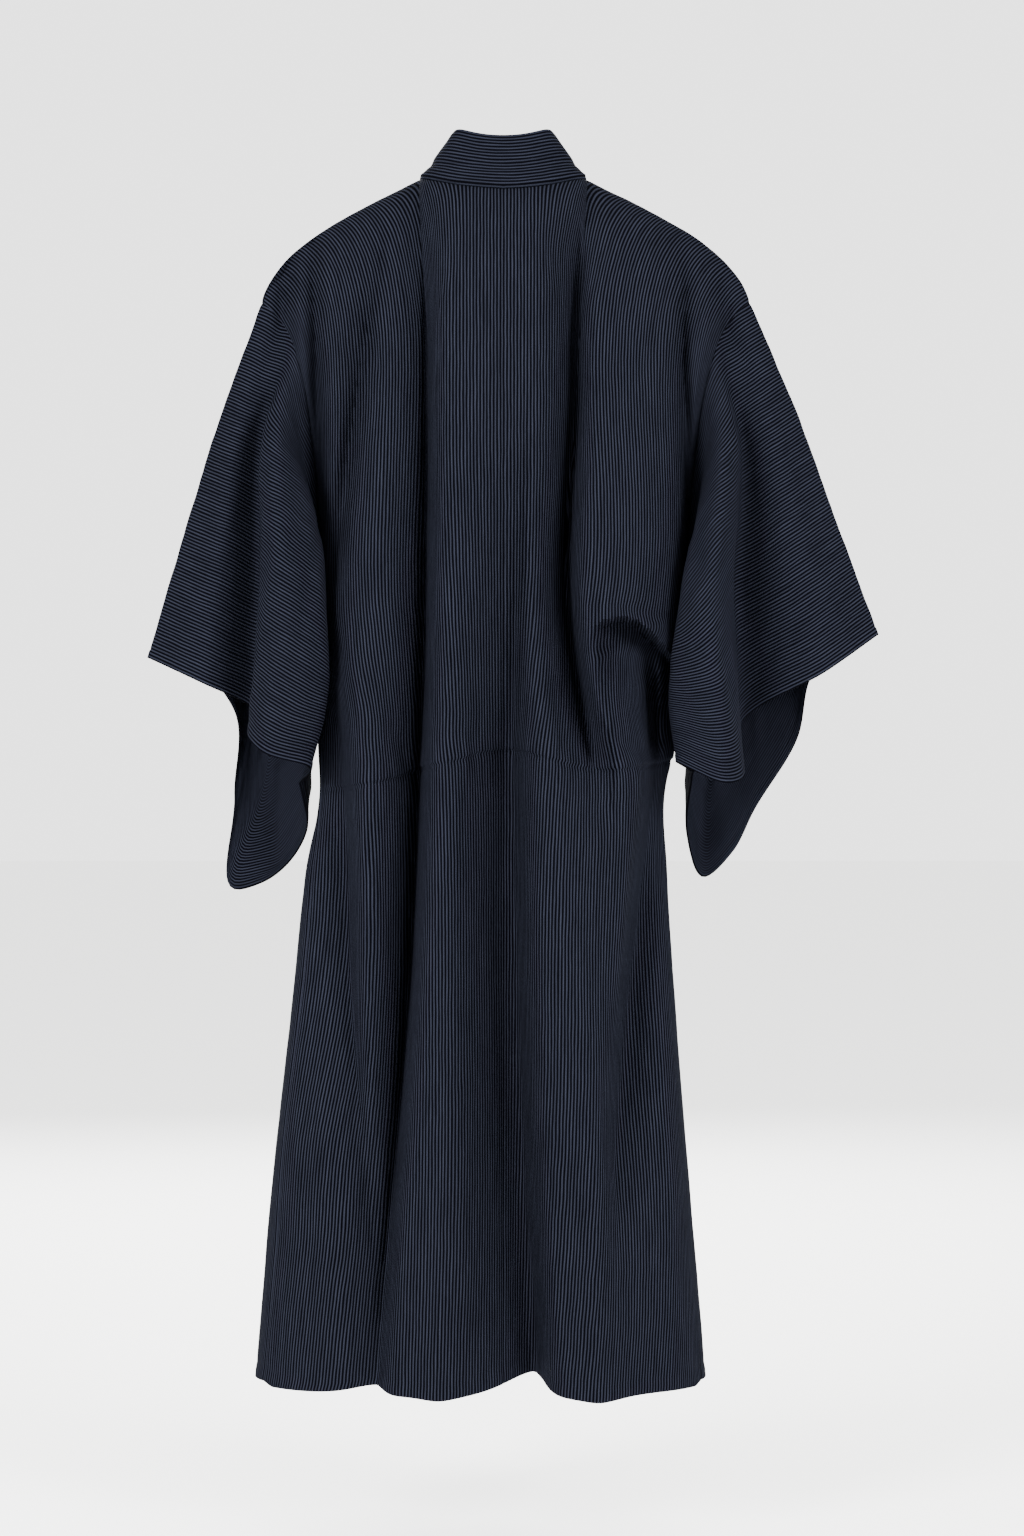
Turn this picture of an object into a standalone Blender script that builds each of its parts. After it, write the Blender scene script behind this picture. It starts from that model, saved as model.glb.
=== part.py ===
"""A striped cotton kimono, filled out as if worn, with nobody in it.

Metres, +Z up, front towards -Y, the wearer's left towards +X. The origin is level with the sides of the
neck, in the middle: there the shoulders carry the garment.

The cloth is one smooth middle surface, cut along its seams into the pieces a maker sews together. Below the
armholes the surface is a stack of level sections, walked by cloth length from the centre back seam, so each
panel keeps its width however deep the folds are. Above them it falls from the neck and shoulder line to the
first section. The sleeves run from the armholes through three sections each. Every piece is a wall laid half
on each side of that surface. Sizes in the tables are millimetres.
"""

import math

import bpy
import numpy as np

MM = 0.001

# Cloth sizes, in millimetres.
WALL = 1.5
COLLAR_WALL = 2.6
SEAM_GAP = 0.3
NECK_WIDTH = 90.0
BACK_WIDTH = 308.0
FRONT_WIDTH = 236.0
OKUMI_WIDTH = 138.0
COLLAR_WIDTH = 60.0
COLLAR_LEVEL_WIDTH = 66.0  # measured level, across the slanting front
LAP = 10.0  # each front lies this far off the level section where they overlap
LAP_ROUND = 0.05  # and this share further out or in where it turns round the far side

# Levels, in millimetres from the neck.
ARMPIT_Z = -445.0
LEAD_STEP = 40.0  # the fall meets the first section in the direction of the cloth this far below it
KENSAKI_Z = -185.0
COLLAR_END_Z = -520.0
HEM_Z = -1275.0

# Grid steps of the solids.
NECK_COLUMNS = 5
SHOULDER_COLUMNS = 13
OKUMI_COLUMNS = 4
UPPER_ROWS = 12
LOWER_ROWS = 21
SLEEVE_STEPS = 12
SLEEVE_FREE_COLUMNS = 4
COLLAR_STEPS = 3

# Level sections of the body. Columns: z, half widths to the left and right, depths to back and front, and
# the widest point's place from back to front.
SECTIONS = (
    (-445, 194, 194, 92, 106, -22),
    (-485, 189.5, 189, 90, 107, -20.5),
    (-535, 201, 193, 90, 107, -21),
    (-590, 202, 188, 92, 108, -19),
    (-640, 200, 177, 96, 108, -15),
    (-729, 214, 178, 104, 108, -10),
    (-870, 229, 186, 115, 110, -5),
    (-1087, 252, 203, 126, 112, 0),
    (-1275, 268, 219, 134, 114, 0),
)
ROUNDNESS = 0.82  # below 1 the sections are fuller than an ellipse

# Long folds of the back. Columns: levels of top and bottom, four places x between them, the depth at each
# (below 0 it stands out), and how far it spreads to the left (+X) and to the right.
BACK_FOLDS = {
    "left_deep": ((-20, -1265), (82, 85, 103, 134), (16, 46, 54, 28), 36, 11),
    "centre": ((-300, -1275), (-13, -10, -16, -34), (6, 42, 52, 62), 42, 15),
    "right_upper": ((-50, -650), (-77, -77, -69, -106), (18, 34, 46, 10), 26, 12),
    "left_slant": ((-80, -400), (125, 144, 163, 183), (4, 11, 14, 6), 16, 16),
    "left_side": ((-500, -1120), (184, 170, 162, 140), (14, 42, 34, 6), 44, 12),
    "right_side": ((-520, -1150), (-180, -153, -128, -120), (8, 38, 32, 6), 12, 44),
    "centre_roll": ((-60, -1275), (64, 55, 60, 68), (-3, -9, -11, -12), 26, 26),
    "right_roll": ((-560, -1275), (-48, -66, -98, -101), (-4, -12, -16, -18), 30, 30),
}
# Long folds of the front, which nobody sees in the photograph: shallow, and spaced as loosely.
FRONT_FOLDS = {
    "left_fall": ((-240, -1275), (104, 112, 120, 128), (6, 32, 26, 22), 30, 24),
    "right_fall": ((-240, -1275), (-98, -106, -112, -118), (6, 34, 26, 22), 24, 30),
    "left_hip": ((-280, -1100), (154, 158, 172, 186), (3, 22, 14, 2), 18, 18),
    "right_hip": ((-280, -1100), (-152, -148, -150, -158), (3, 24, 16, 2), 18, 18),
    "left_middle": ((-300, -1200), (44, 48, 50, 52), (2, 16, 12, 8), 22, 22),
    "right_middle": ((-300, -1200), (-38, -42, -46, -50), (2, 16, 12, 8), 22, 22),
}
# Short rolls and hollows of the back, where the cloth is caught up over the right hip. Columns: centre
# x and z, half sizes along and across, lean in degrees, and height (below 0 it is a hollow).
BACK_ROLLS = (
    (-152, -476, 52, 17, -18, 14),
    (-158, -545, 62, 20, 84, -34),
    (-112, -560, 58, 22, 78, 15),
    (-40, -590, 60, 20, 6, 5),
    (150, -560, 70, 22, 76, 12),
)

# Where the cloth leaves the shoulder line: how far it runs inwards, backwards (or forwards) and down
# before it turns to hang, at the neck and at the armhole.
SHOULDER_ROLL = {"neck": (6, 74, -30), "armhole": (-64, 76, -40)}
FRONT_ROLL = {"neck": (-12, -66, -58), "armhole": (-60, -84, -42)}

# The sleeves. Each row is a line along the sleeve, at a third, two thirds and the whole of its length from
# the armhole: over the arm, down the back into the hidden valley, over the second fold and in to the
# bottom seam, then round the front and up again.
STATIONS = (0.0, 1 / 3, 2 / 3, 1.0)
# Columns of the sleeve tables: (x, y, z) at the second, third and last station. The two tables below this
# line name the lines in order, with the share of the armhole edge at which each leaves it.
BACK_LINES = {"top": 0, "outer": 0.06, "valley": 0.12, "edge": 0.18, "crest": 0.26, "inner": 0.4, "bottom": 1}
FRONT_LINES = {
    "bottom": 0,
    "under": 0.12,
    "tip": 0.27,
    "corner": 0.38,
    "belly": 0.52,
    "fold": 0.7,
    "upper": 0.88,
    "top": 1,
}
SLEEVE_LEFT = {
    "top": ((308, -2, -239), (348, -5, -368), (387, -12, -498)),
    "outer": ((286, 20, -242), (306, 22, -382), (326, 22, -526)),
    "valley": ((261, 8, -255), (266, -2, -402), (272, -8, -554)),
    "edge": ((254, 46, -262), (259, 52, -416), (272, 50, -586)),
    "crest": ((240, 64, -276), (240, 76, -440), (255, 72, -602)),
    "inner": ((211, 52, -304), (203, 54, -482), (211, 54, -616)),
    "bottom": ((210, -22, -608), (214, -17, -622), (221, -8, -635)),
    "under": ((210, -60, -618), (215, -52, -660), (216, -38, -686)),
    "tip": ((224, -78, -566), (246, -84, -692), (264, -60, -743)),
    "corner": ((232, -90, -506), (262, -94, -650), (294, -66, -752)),
    "belly": ((243, -102, -446), (272, -104, -574), (298, -86, -650)),
    "fold": ((269, -86, -334), (292, -92, -470), (297, -80, -556)),
    "upper": ((295, -48, -262), (322, -54, -392), (338, -60, -506)),
}
SLEEVE_RIGHT = {
    "top": ((-318, -2, -230), (-362, -5, -350), (-408, -12, -473)),
    "outer": ((-286, 20, -242), (-314, 22, -376), (-350, 22, -513)),
    "valley": ((-257, 8, -260), (-254, -4, -412), (-258, -12, -570)),
    "edge": ((-247, 46, -284), (-242, 52, -434), (-255, 50, -630)),
    "crest": ((-230, 64, -296), (-226, 76, -454), (-238, 72, -634)),
    "inner": ((-206, 54, -336), (-184, 58, -498), (-187, 56, -612)),
    "bottom": ((-202, -22, -602), (-204, -17, -613), (-206, -8, -622)),
    "under": ((-199, -60, -612), (-200, -52, -654), (-201, -38, -690)),
    "tip": ((-212, -78, -560), (-214, -84, -682), (-222, -62, -738)),
    "corner": ((-228, -90, -506), (-240, -94, -626), (-252, -70, -712)),
    "belly": ((-240, -102, -442), (-262, -106, -566), (-278, -82, -664)),
    "fold": ((-268, -88, -330), (-300, -92, -462), (-326, -84, -584)),
    "upper": ((-298, -48, -256), (-326, -54, -390), (-340, -60, -516)),
}
SLEEVE_FOOT = {"left": (207, -24, -592), "right": (-200, -24, -588)}
HANGING_BOW = 6.0  # how far the sleeve's inner edge below the armhole stands off a straight line
SLEEVE_CLEAR = 9.0  # how far the sleeve steps away from the body's side just past the armhole
SLEEVE_OPEN = 8.0  # how far its back and front part from each other just past that hanging edge

# The shoulder line seen from the back: neck, two shaping points and the top of the armhole.
SHOULDER_LINE = ((NECK_WIDTH, 5, 20), (150, 3, -12), (247, 0, -48), (262, 0, -113))
RIGHT_SHOULDER_WIDER = 1.02
BACK_NECK = (70.0, 2.0)  # how far back and how high the middle of the back neck is

# Where the collar points from the neck seam, at the centre back and at the side of the neck.
COLLAR_AT_BACK = (0, -0.25, 0.97)
COLLAR_AT_SIDE = (-0.6, 0.1, 0.79)
PARTED_BY = 0.34  # the share of the fall by which the two fronts are a full lap apart

CLOTH = (0.028, 0.034, 0.055, 1.0)
COLLAR_CLOTH = (0.032, 0.038, 0.060, 1.0)


def smooth(t):
    t = np.clip(t, 0.0, 1.0)
    return t * t * (3 - 2 * t)


def flow(knots, values, at):
    """A smooth curve through values at knots, which rise or fall steadily."""
    knots, values, at = (np.asarray(v, float) for v in (knots, values, at))
    if knots[0] > knots[-1]:
        knots, values = knots[::-1], values[::-1]
    at = np.clip(at, knots[0], knots[-1])
    slopes = np.gradient(values, knots, axis=0)
    i = np.clip(np.searchsorted(knots, at) - 1, 0, len(knots) - 2)
    step = knots[i + 1] - knots[i]
    t = (at - knots[i]) / step
    if values.ndim > 1:
        t, step = t[..., None], step[..., None]
    return (
        values[i] * (1 + 2 * t) * (1 - t) ** 2
        + slopes[i] * step * t * (1 - t) ** 2
        + values[i + 1] * t * t * (3 - 2 * t)
        + slopes[i + 1] * step * t * t * (t - 1)
    )


def bezier(p0, p1, p2, p3, t):
    p0, p1, p2, p3 = (np.asarray(p, float) for p in (p0, p1, p2, p3))
    t = np.asarray(t, float)[..., None]
    return p0 * (1 - t) ** 3 + 3 * p1 * t * (1 - t) ** 2 + 3 * p2 * t * t * (1 - t) + p3 * t**3


def lengths(path):
    """How far along a path each of its points is."""
    steps = np.linalg.norm(np.diff(path, axis=0), axis=1)
    return np.concatenate([[0.0], np.cumsum(steps)])


def at_lengths(path, along):
    run = lengths(path)
    return np.stack([np.interp(along, run, path[:, k]) for k in range(3)], axis=1)


def fold_depth(folds, x, z):
    """How deep all the long folds together are at a place."""
    total = np.zeros_like(x)
    for (top, bottom), places, depths, spread_left, spread_right in folds.values():
        levels = np.linspace(top, bottom, len(places))
        off = x - flow(levels, places, z)
        spread = np.where(off > 0, spread_left, spread_right)
        inside = smooth((top + 40 - z) / 60) * smooth((z - bottom + 60) / 60)
        total += flow(levels, depths, z) * np.exp(-np.abs(off / spread) ** 1.7) * inside
    return total


def roll_height(rolls, x, z):
    total = np.zeros_like(x)
    for centre_x, centre_z, along, across, lean, height in rolls:
        c, s = math.cos(math.radians(lean)), math.sin(math.radians(lean))
        a = ((x - centre_x) * c + (z - centre_z) * s) / along
        b = ((z - centre_z) * c - (x - centre_x) * s) / across
        total += height * np.exp(-(a * a + b * b))
    return total


def back_relief(x, z):
    return roll_height(BACK_ROLLS, x, z) - fold_depth(BACK_FOLDS, x, z)


def front_relief(x, z):
    return fold_depth(FRONT_FOLDS, x, z)


def section(side, z):
    """The plain and the folded path of one level, from the centre back round past the centre front."""
    rows = np.array(SECTIONS, float)
    left, right, back, front, widest = (flow(rows[:, 0], rows[:, k], z) for k in range(1, 6))
    own, other = (left, right) if side > 0 else (right, left)
    turn = np.linspace(0.0, 1.6 * math.pi, 900)
    across = np.sign(np.sin(turn)) * np.abs(np.sin(turn)) ** ROUNDNESS
    depth = np.sign(np.cos(turn)) * np.abs(np.cos(turn)) ** ROUNDNESS
    far = 1 + side * LAP_ROUND * smooth((turn / math.pi - 1.1) / 0.25)
    x = side * across * far * np.where(across > 0, own, other)
    y = widest + depth * np.where(depth > 0, back - widest, front + widest)
    over = smooth((turn / math.pi - 0.62) / 0.2)
    y = y - side * LAP * over
    plain = np.stack([x, y, np.full_like(x, z)], axis=1)
    behind = smooth((0.54 - turn / math.pi) / 0.12)
    ahead = smooth((turn / math.pi - 0.6) / 0.14)
    folded = plain.copy()
    folded[:, 1] += back_relief(x, plain[:, 2]) * behind + front_relief(x, plain[:, 2]) * ahead
    return plain, folded


def okumi_width(z):
    """The front overlap piece tapers above the end of the collar."""
    return OKUMI_WIDTH * np.clip((KENSAKI_Z - z) / (KENSAKI_Z - COLLAR_END_Z), 0.0, 1.0)


def walk(side, z, along):
    """Places at cloth lengths from the centre back, on the plain and on the folded path."""
    plain, folded = section(side, z)
    run = lengths(folded)
    return tuple(
        np.stack([np.interp(along, run, path[:, k]) for k in range(3)], axis=1)
        for path in (plain, folded)
    )


def top_line(side, along):
    """The back neck and the shoulder line, by cloth length from the centre back."""
    turn = np.clip(along / NECK_WIDTH, 0, 1) * math.pi / 2
    reach, height = BACK_NECK
    neck = np.stack(
        [
            NECK_WIDTH * np.sin(turn),
            SHOULDER_LINE[0][1] + (reach - SHOULDER_LINE[0][1]) * np.cos(turn),
            height + (SHOULDER_LINE[0][2] - height) * np.sin(turn) ** 2,
        ],
        axis=1,
    )
    out = np.clip((along - NECK_WIDTH) / (BACK_WIDTH - NECK_WIDTH), 0, 1)
    shoulder = bezier(*SHOULDER_LINE, out)
    line = np.where((along > NECK_WIDTH)[:, None], shoulder, neck)
    if side < 0:
        line[:, 0] *= -(1 + (RIGHT_SHOULDER_WIDER - 1) * out)
    return line


def fall(side, top, roll, ring, below, t):
    """The cloth between the shoulder line and the first level section, one column for each top point."""
    start = top + roll * np.array([side, 1, 1])
    lead = (ring - below) / np.linalg.norm(ring - below, axis=1)[:, None]
    end = ring + lead * (0.42 * (top[:, 2:3] - ring[:, 2:3]))
    return bezier(top, start, end, ring, t[:, None] * np.ones(len(top)))


def back_columns(neck, shoulder):
    """Cloth lengths of the back's columns, one of them at the side of the neck."""
    return np.concatenate(
        [np.linspace(0, NECK_WIDTH, neck + 1), np.linspace(NECK_WIDTH, BACK_WIDTH, shoulder + 1)[1:]]
    )


def back_grid(side, along, upper, lower):
    """Rows from the hem up to the shoulder line, columns from the centre back to the side seam."""
    levels = np.linspace(HEM_Z, ARMPIT_Z, lower + 1)
    rows = [walk(side, z, along)[1] for z in levels]
    ring, _ = walk(side, ARMPIT_Z, along)
    below, _ = walk(side, ARMPIT_Z - LEAD_STEP, along)
    top = top_line(side, along)
    share = smooth((along - 0.5 * NECK_WIDTH) / (BACK_WIDTH - 0.5 * NECK_WIDTH))[:, None]
    roll = np.array(SHOULDER_ROLL["neck"]) * (1 - share) + np.array(SHOULDER_ROLL["armhole"]) * share
    near_neck = np.clip(along / NECK_WIDTH, 0, 1)[:, None]
    roll = roll * np.concatenate([near_neck, 0.45 + 0.55 * near_neck, 0.45 + 0.55 * near_neck], axis=1)
    t = np.linspace(1, 0, upper + 1)[1:]
    grid = fall(side, top, roll, ring, below, t)
    free = smooth((1 - along / BACK_WIDTH) / 0.14)[None, :]
    grid[..., 1] += back_relief(grid[..., 0], grid[..., 2]) * smooth(2.2 * t)[:, None] * free
    return np.concatenate([np.array(rows), grid])


def front_edge_turn(t):
    """How far down the upper front the overlap piece's point is, as a share of the fall."""
    share = (KENSAKI_Z - SHOULDER_LINE[0][2]) / (ARMPIT_Z - SHOULDER_LINE[0][2])
    seam_at_ring = FRONT_WIDTH / (FRONT_WIDTH + okumi_width(ARMPIT_Z))
    return 1 - (1 - seam_at_ring) * np.clip((t - share) / (1 - share), 0, 1)


def front_rows(side, shares_of_row, along, upper, lower):
    """Rows from the shoulder line down to the hem, at the given shares of the way from side to edge.

    along holds the back's columns, which the shoulder row shares beyond the neck.
    """
    t = np.linspace(0, 1, upper + 1)
    dense = np.linspace(0, 1, 61)
    ring_width = FRONT_WIDTH + okumi_width(ARMPIT_Z)
    ring, folded = walk(side, ARMPIT_Z, BACK_WIDTH + dense * ring_width)
    below, _ = walk(side, ARMPIT_Z - LEAD_STEP, BACK_WIDTH + dense * ring_width)
    top = top_line(side, BACK_WIDTH - dense * (BACK_WIDTH - NECK_WIDTH))
    share = smooth(dense)[:, None]
    roll = np.array(FRONT_ROLL["armhole"]) * (1 - share) + np.array(FRONT_ROLL["neck"]) * share
    grid = fall(side, top, roll, ring, below, t)
    # The two fronts part early enough for one collar to lie over the other.
    parting = smooth(t / PARTED_BY) - t * t * (3 - 2 * t)
    grid[..., 1] -= side * LAP * parting[:, None] * smooth((dense - 0.3) / 0.35)[None, :]
    free = smooth(dense / 0.15)[None, :]
    grid[..., 1] += front_relief(grid[..., 0], grid[..., 2]) * smooth(2.2 * t)[:, None] * free
    grid[-1] = folded
    shoulder = along[along >= NECK_WIDTH - 0.01][::-1]
    rows = [top_line(side, shoulder) if len(shares_of_row(0)) == len(shoulder) else None]
    for i, row in enumerate(grid[1:], 1):
        rows.append(at_lengths(row, shares_of_row(i) * lengths(row)[-1]))
    if rows[0] is None:
        rows[0] = grid[0, -1:].repeat(len(shares_of_row(0)), 0)
    for i, z in enumerate(np.linspace(ARMPIT_Z, HEM_Z, lower + 1)[1:]):
        width = FRONT_WIDTH + okumi_width(z)
        rows.append(walk(side, z, BACK_WIDTH + shares_of_row(upper + 1 + i) * width)[1])
    return np.array(rows)


def seam_share(row, upper, lower):
    """Where the seam between front and overlap piece crosses a row, as a share of the row."""
    if row <= upper:
        return float(front_edge_turn(row / upper))
    z = ARMPIT_Z + (HEM_Z - ARMPIT_Z) * (row - upper) / lower
    return float(FRONT_WIDTH / (FRONT_WIDTH + okumi_width(z)))


def front_grid(side, along, upper, lower):
    columns = int((along >= NECK_WIDTH - 0.01).sum())
    return front_rows(
        side, lambda row: np.linspace(0, seam_share(row, upper, lower), columns), along, upper, lower
    )


def okumi_grid(side, along, columns, upper, lower):
    """The overlap piece, from its point beside the collar down to the hem."""
    start = max(i for i in range(upper) if seam_share(i, upper, lower) >= 1.0)
    grid = front_rows(
        side, lambda row: np.linspace(seam_share(row, upper, lower), 1, columns + 1), along, upper, lower
    )
    return grid[start:]


def sleeve_grid(side, back_edge, front_edge, steps, free):
    """Rows from armhole to cuff, columns round the sleeve from the shoulder down the back and up the front.

    back_edge and front_edge are the body's armhole, from the shoulder down.
    """
    table = SLEEVE_LEFT if side > 0 else SLEEVE_RIGHT
    foot = np.array(SLEEVE_FOOT["left" if side > 0 else "right"], float)
    armpit = back_edge[-1]
    down = np.linspace(0, 1, free + 1)[1:, None]
    hanging = armpit + (foot - armpit) * down
    hanging[:, 0] += side * HANGING_BOW * np.sin(math.pi * down[:, 0]) ** 0.5
    halves = []
    for edge, lines in ((back_edge, BACK_LINES), (front_edge, FRONT_LINES)):
        seam = np.concatenate([edge, hanging])
        if lines is FRONT_LINES:
            seam = seam[::-1]
        shares = lengths(seam) / lengths(seam)[-1]
        starts = at_lengths(seam, np.array(list(lines.values())) * lengths(seam)[-1])
        knots = np.array([[start, *table[name]] for start, name in zip(starts, lines)], float)
        rows = []
        for along in np.linspace(0, 1, steps + 1):
            through = np.array([flow(STATIONS, line, along) for line in knots])
            run = lengths(through)
            path = flow(run, through, np.linspace(0, run[-1], 240))
            rows.append(at_lengths(path, shares * lengths(path)[-1]))
        rows = np.array(rows)
        settle = 1 - smooth(np.linspace(0, 1, steps + 1) / STATIONS[1])
        rows += (seam - rows[0])[None] * settle[:, None, None]
        places = np.linspace(0, 1, steps + 1)
        off = smooth(places / 0.1) * smooth((0.75 - places) / 0.5)
        beside = smooth((seam[0, 2] - seam[:, 2] if lines is BACK_LINES else seam[-1, 2] - seam[:, 2]) / 200)
        hung = np.clip((armpit[2] - seam[:, 2]) / (armpit[2] - foot[2]), 0, 1)
        rows[..., 0] += side * SLEEVE_CLEAR * off[:, None] * (beside * (1 - hung))[None, :]
        part = SLEEVE_OPEN * np.sin(math.pi * hung) * (1 if lines is BACK_LINES else -1)
        rows[..., 1] += off[:, None] * part[None, :]
        halves.append(rows)
    # Both halves share the fold over the arm and the seam below it.
    halves[1][:, -1] = halves[0][:, 0]
    halves[1][:, 0] = halves[0][:, -1]
    return halves


def collar_front(side, steps, upper, lower):
    """The collar down one front, in the front's own layer: rows from the neck down, columns across."""
    t = np.linspace(0, 1, upper + 1)
    across = np.linspace(0, 1, steps + 1)
    start = BACK_WIDTH + FRONT_WIDTH
    level = start + okumi_width(ARMPIT_Z) + across * COLLAR_LEVEL_WIDTH
    ring, folded = walk(side, ARMPIT_Z, level)
    below, _ = walk(side, ARMPIT_Z - LEAD_STEP, level)
    way = np.array(COLLAR_AT_SIDE) / np.linalg.norm(COLLAR_AT_SIDE) * np.array([side, 1, 1])
    top = top_line(side, np.array([NECK_WIDTH])) + across[:, None] * COLLAR_WIDTH * way
    grid = fall(side, top, np.array(FRONT_ROLL["neck"]), ring, below, t)
    grid[..., 1] -= side * LAP * (smooth(t / PARTED_BY) - t * t * (3 - 2 * t))[:, None]
    grid[..., 1] += front_relief(grid[..., 0], grid[..., 2]) * smooth(2.2 * t)[:, None]
    grid[-1] = folded
    end = int(round((COLLAR_END_Z - ARMPIT_Z) / (HEM_Z - ARMPIT_Z) * lower))
    levels = np.linspace(ARMPIT_Z, HEM_Z, lower + 1)[1 : end + 1]
    rows = [walk(side, z, start + okumi_width(z) + across * COLLAR_LEVEL_WIDTH)[1] for z in levels]
    return np.concatenate([grid, np.array(rows)])


def collar_back(side, along, steps):
    """The collar standing on half of the back neck: rows from the side of the neck to the middle."""
    along = along[along < NECK_WIDTH - 0.01][::-1]
    base = top_line(side, along)
    share = smooth(along / NECK_WIDTH)[:, None]
    way = np.array(COLLAR_AT_BACK) * (1 - share) + np.array(COLLAR_AT_SIDE) * np.array([side, 1, 1]) * share
    way /= np.linalg.norm(way, axis=1)[:, None]
    return base[:, None] + np.linspace(0, COLLAR_WIDTH, steps + 1)[None, :, None] * way[:, None]


def collar_grid(along, steps, upper, lower):
    """Rows along the neck seam from the left end to the right end, columns across the collar."""
    halves = []
    for side in (1, -1):
        halves.append(
            np.concatenate([collar_front(side, steps, upper, lower)[::-1], collar_back(side, along, steps)])
        )
    return np.concatenate([halves[0], halves[1][::-1][1:]])


def grid_faces(grid, flip):
    rows, columns = grid.shape[:2]
    number = np.arange(rows * columns).reshape(rows, columns)
    here, beside, across, below = number[:-1, :-1], number[:-1, 1:], number[1:, 1:], number[1:, :-1]
    corners = (here, below, across, beside) if flip else (here, beside, across, below)
    return np.stack(corners, axis=-1).reshape(-1, 4)


def weld(patches):
    """Patches joined where their points agree: the points, and each patch's faces as triangles."""
    points = np.concatenate([grid.reshape(-1, 3) for grid, _ in patches])
    _, first, back = np.unique(np.round(points, 3), axis=0, return_index=True, return_inverse=True)
    back = back.reshape(-1)
    faces, start = [], 0
    for grid, flip in patches:
        quads = back[grid_faces(grid, flip) + start]
        start += grid.shape[0] * grid.shape[1]
        triangles = np.concatenate([quads[:, [0, 1, 2]], quads[:, [0, 2, 3]]])
        a, b, c = triangles.T
        faces.append(triangles[(a != b) & (b != c) & (c != a)])
    return points[first], faces


def point_normals(points, triangles):
    """Normals at the points, each face counting by its angle there."""
    corner = points[triangles]
    normal = np.cross(corner[:, 1] - corner[:, 0], corner[:, 2] - corner[:, 0])
    normal /= np.maximum(np.linalg.norm(normal, axis=1), 1e-9)[:, None]
    total = np.zeros_like(points)
    for k in range(3):
        ahead, behind = corner[:, (k + 1) % 3] - corner[:, k], corner[:, (k + 2) % 3] - corner[:, k]
        size = np.linalg.norm(ahead, axis=1) * np.linalg.norm(behind, axis=1)
        angle = np.arccos(np.clip((ahead * behind).sum(axis=1) / np.maximum(size, 1e-9), -1, 1))
        np.add.at(total, triangles[:, k], normal * angle[:, None])
    size = np.linalg.norm(total, axis=1)
    return total / np.where(size > 0, size, 1)[:, None]


def seam_normals(points, pieces, thickness):
    """Each piece's points and normals. Where two pieces meet, their normals halve the angle between them.

    In a cleft so narrow that walls laid that way would cross, each piece keeps its own normal instead and
    steps back from the other.
    """
    own = {name: point_normals(points, triangles) for name, triangles in pieces.items()}
    total = sum(own.values())
    count = sum((np.linalg.norm(n, axis=1) > 0.5).astype(int) for n in own.values())
    out = {}
    for name, normal in own.items():
        size = np.linalg.norm(total, axis=1)
        shared = total / np.where(size > 1e-6, size, 1)[:, None]
        apart = np.sqrt(np.clip(1 - (normal * shared).sum(axis=1) ** 2, 0, 1))
        narrow = np.where(count > 1, smooth((apart - 0.8) / 0.15), 0.0)
        narrow = np.where((count > 1) & (size < 0.3), 1.0, narrow)[:, None]
        mixed = shared * (1 - narrow) + normal * narrow
        mixed /= np.maximum(np.linalg.norm(mixed, axis=1), 1e-6)[:, None]
        out[name] = (points - normal * narrow * (thickness[name] / 2 + SEAM_GAP), mixed)
    return out


def wall(points, normals, triangles, thickness):
    """A closed wall round some triangles of the cloth, drawn back by half a seam gap along its edges."""
    used, local = np.unique(triangles, return_inverse=True)
    local = local.reshape(-1, 3)
    p, n = points[used], normals[used]
    edges = {}
    for face in local:
        for k in range(3):
            edges[(face[k], face[(k + 1) % 3])] = face[(k + 2) % 3]
    rim = [(a, b, c) for (a, b), c in edges.items() if (b, a) not in edges]
    inward = {}
    for a, b, c in rim:
        along = (p[b] - p[a]) / np.linalg.norm(p[b] - p[a])
        way = p[c] - p[a]
        way = way - along * way.dot(along)
        way /= np.linalg.norm(way)
        for v in (a, b):
            inward.setdefault(v, []).append(way)
    moved = p.copy()
    for v, ways in inward.items():
        meet = max(0.08, 1 + float(np.dot(ways[0], ways[-1])))
        moved[v] = p[v] + 0.5 * SEAM_GAP * (ways[0] + ways[-1]) / meet
    count = len(p)
    verts = np.concatenate([moved + n * thickness / 2, moved - n * thickness / 2])
    faces = [tuple(f) for f in local] + [tuple(f[::-1] + count) for f in local]
    for a, b, _ in rim:
        # Both pieces at a seam split its faces along the same diagonal, so that the two lie parallel.
        if tuple(points[used[a]]) < tuple(points[used[b]]):
            faces += [(b, a, a + count), (b, a + count, b + count)]
        else:
            faces += [(b, a, b + count), (a, a + count, b + count)]
    return verts * MM, faces


def cloth_material(name, colour):
    material = bpy.data.materials.new(name)
    material.use_nodes = True
    shader = material.node_tree.nodes["Principled BSDF"]
    shader.inputs["Base Color"].default_value = colour
    shader.inputs["Roughness"].default_value = 0.85
    shader.inputs["Metallic"].default_value = 0.0
    return material


def add_piece(name, verts, faces, material):
    mesh = bpy.data.meshes.new(name)
    mesh.from_pydata([tuple(map(float, v)) for v in verts], [], [tuple(map(int, f)) for f in faces])
    mesh.materials.append(material)
    mesh.shade_smooth()
    mesh.set_sharp_from_angle(angle=math.radians(50))
    bpy.context.collection.objects.link(bpy.data.objects.new(name, mesh))


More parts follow.
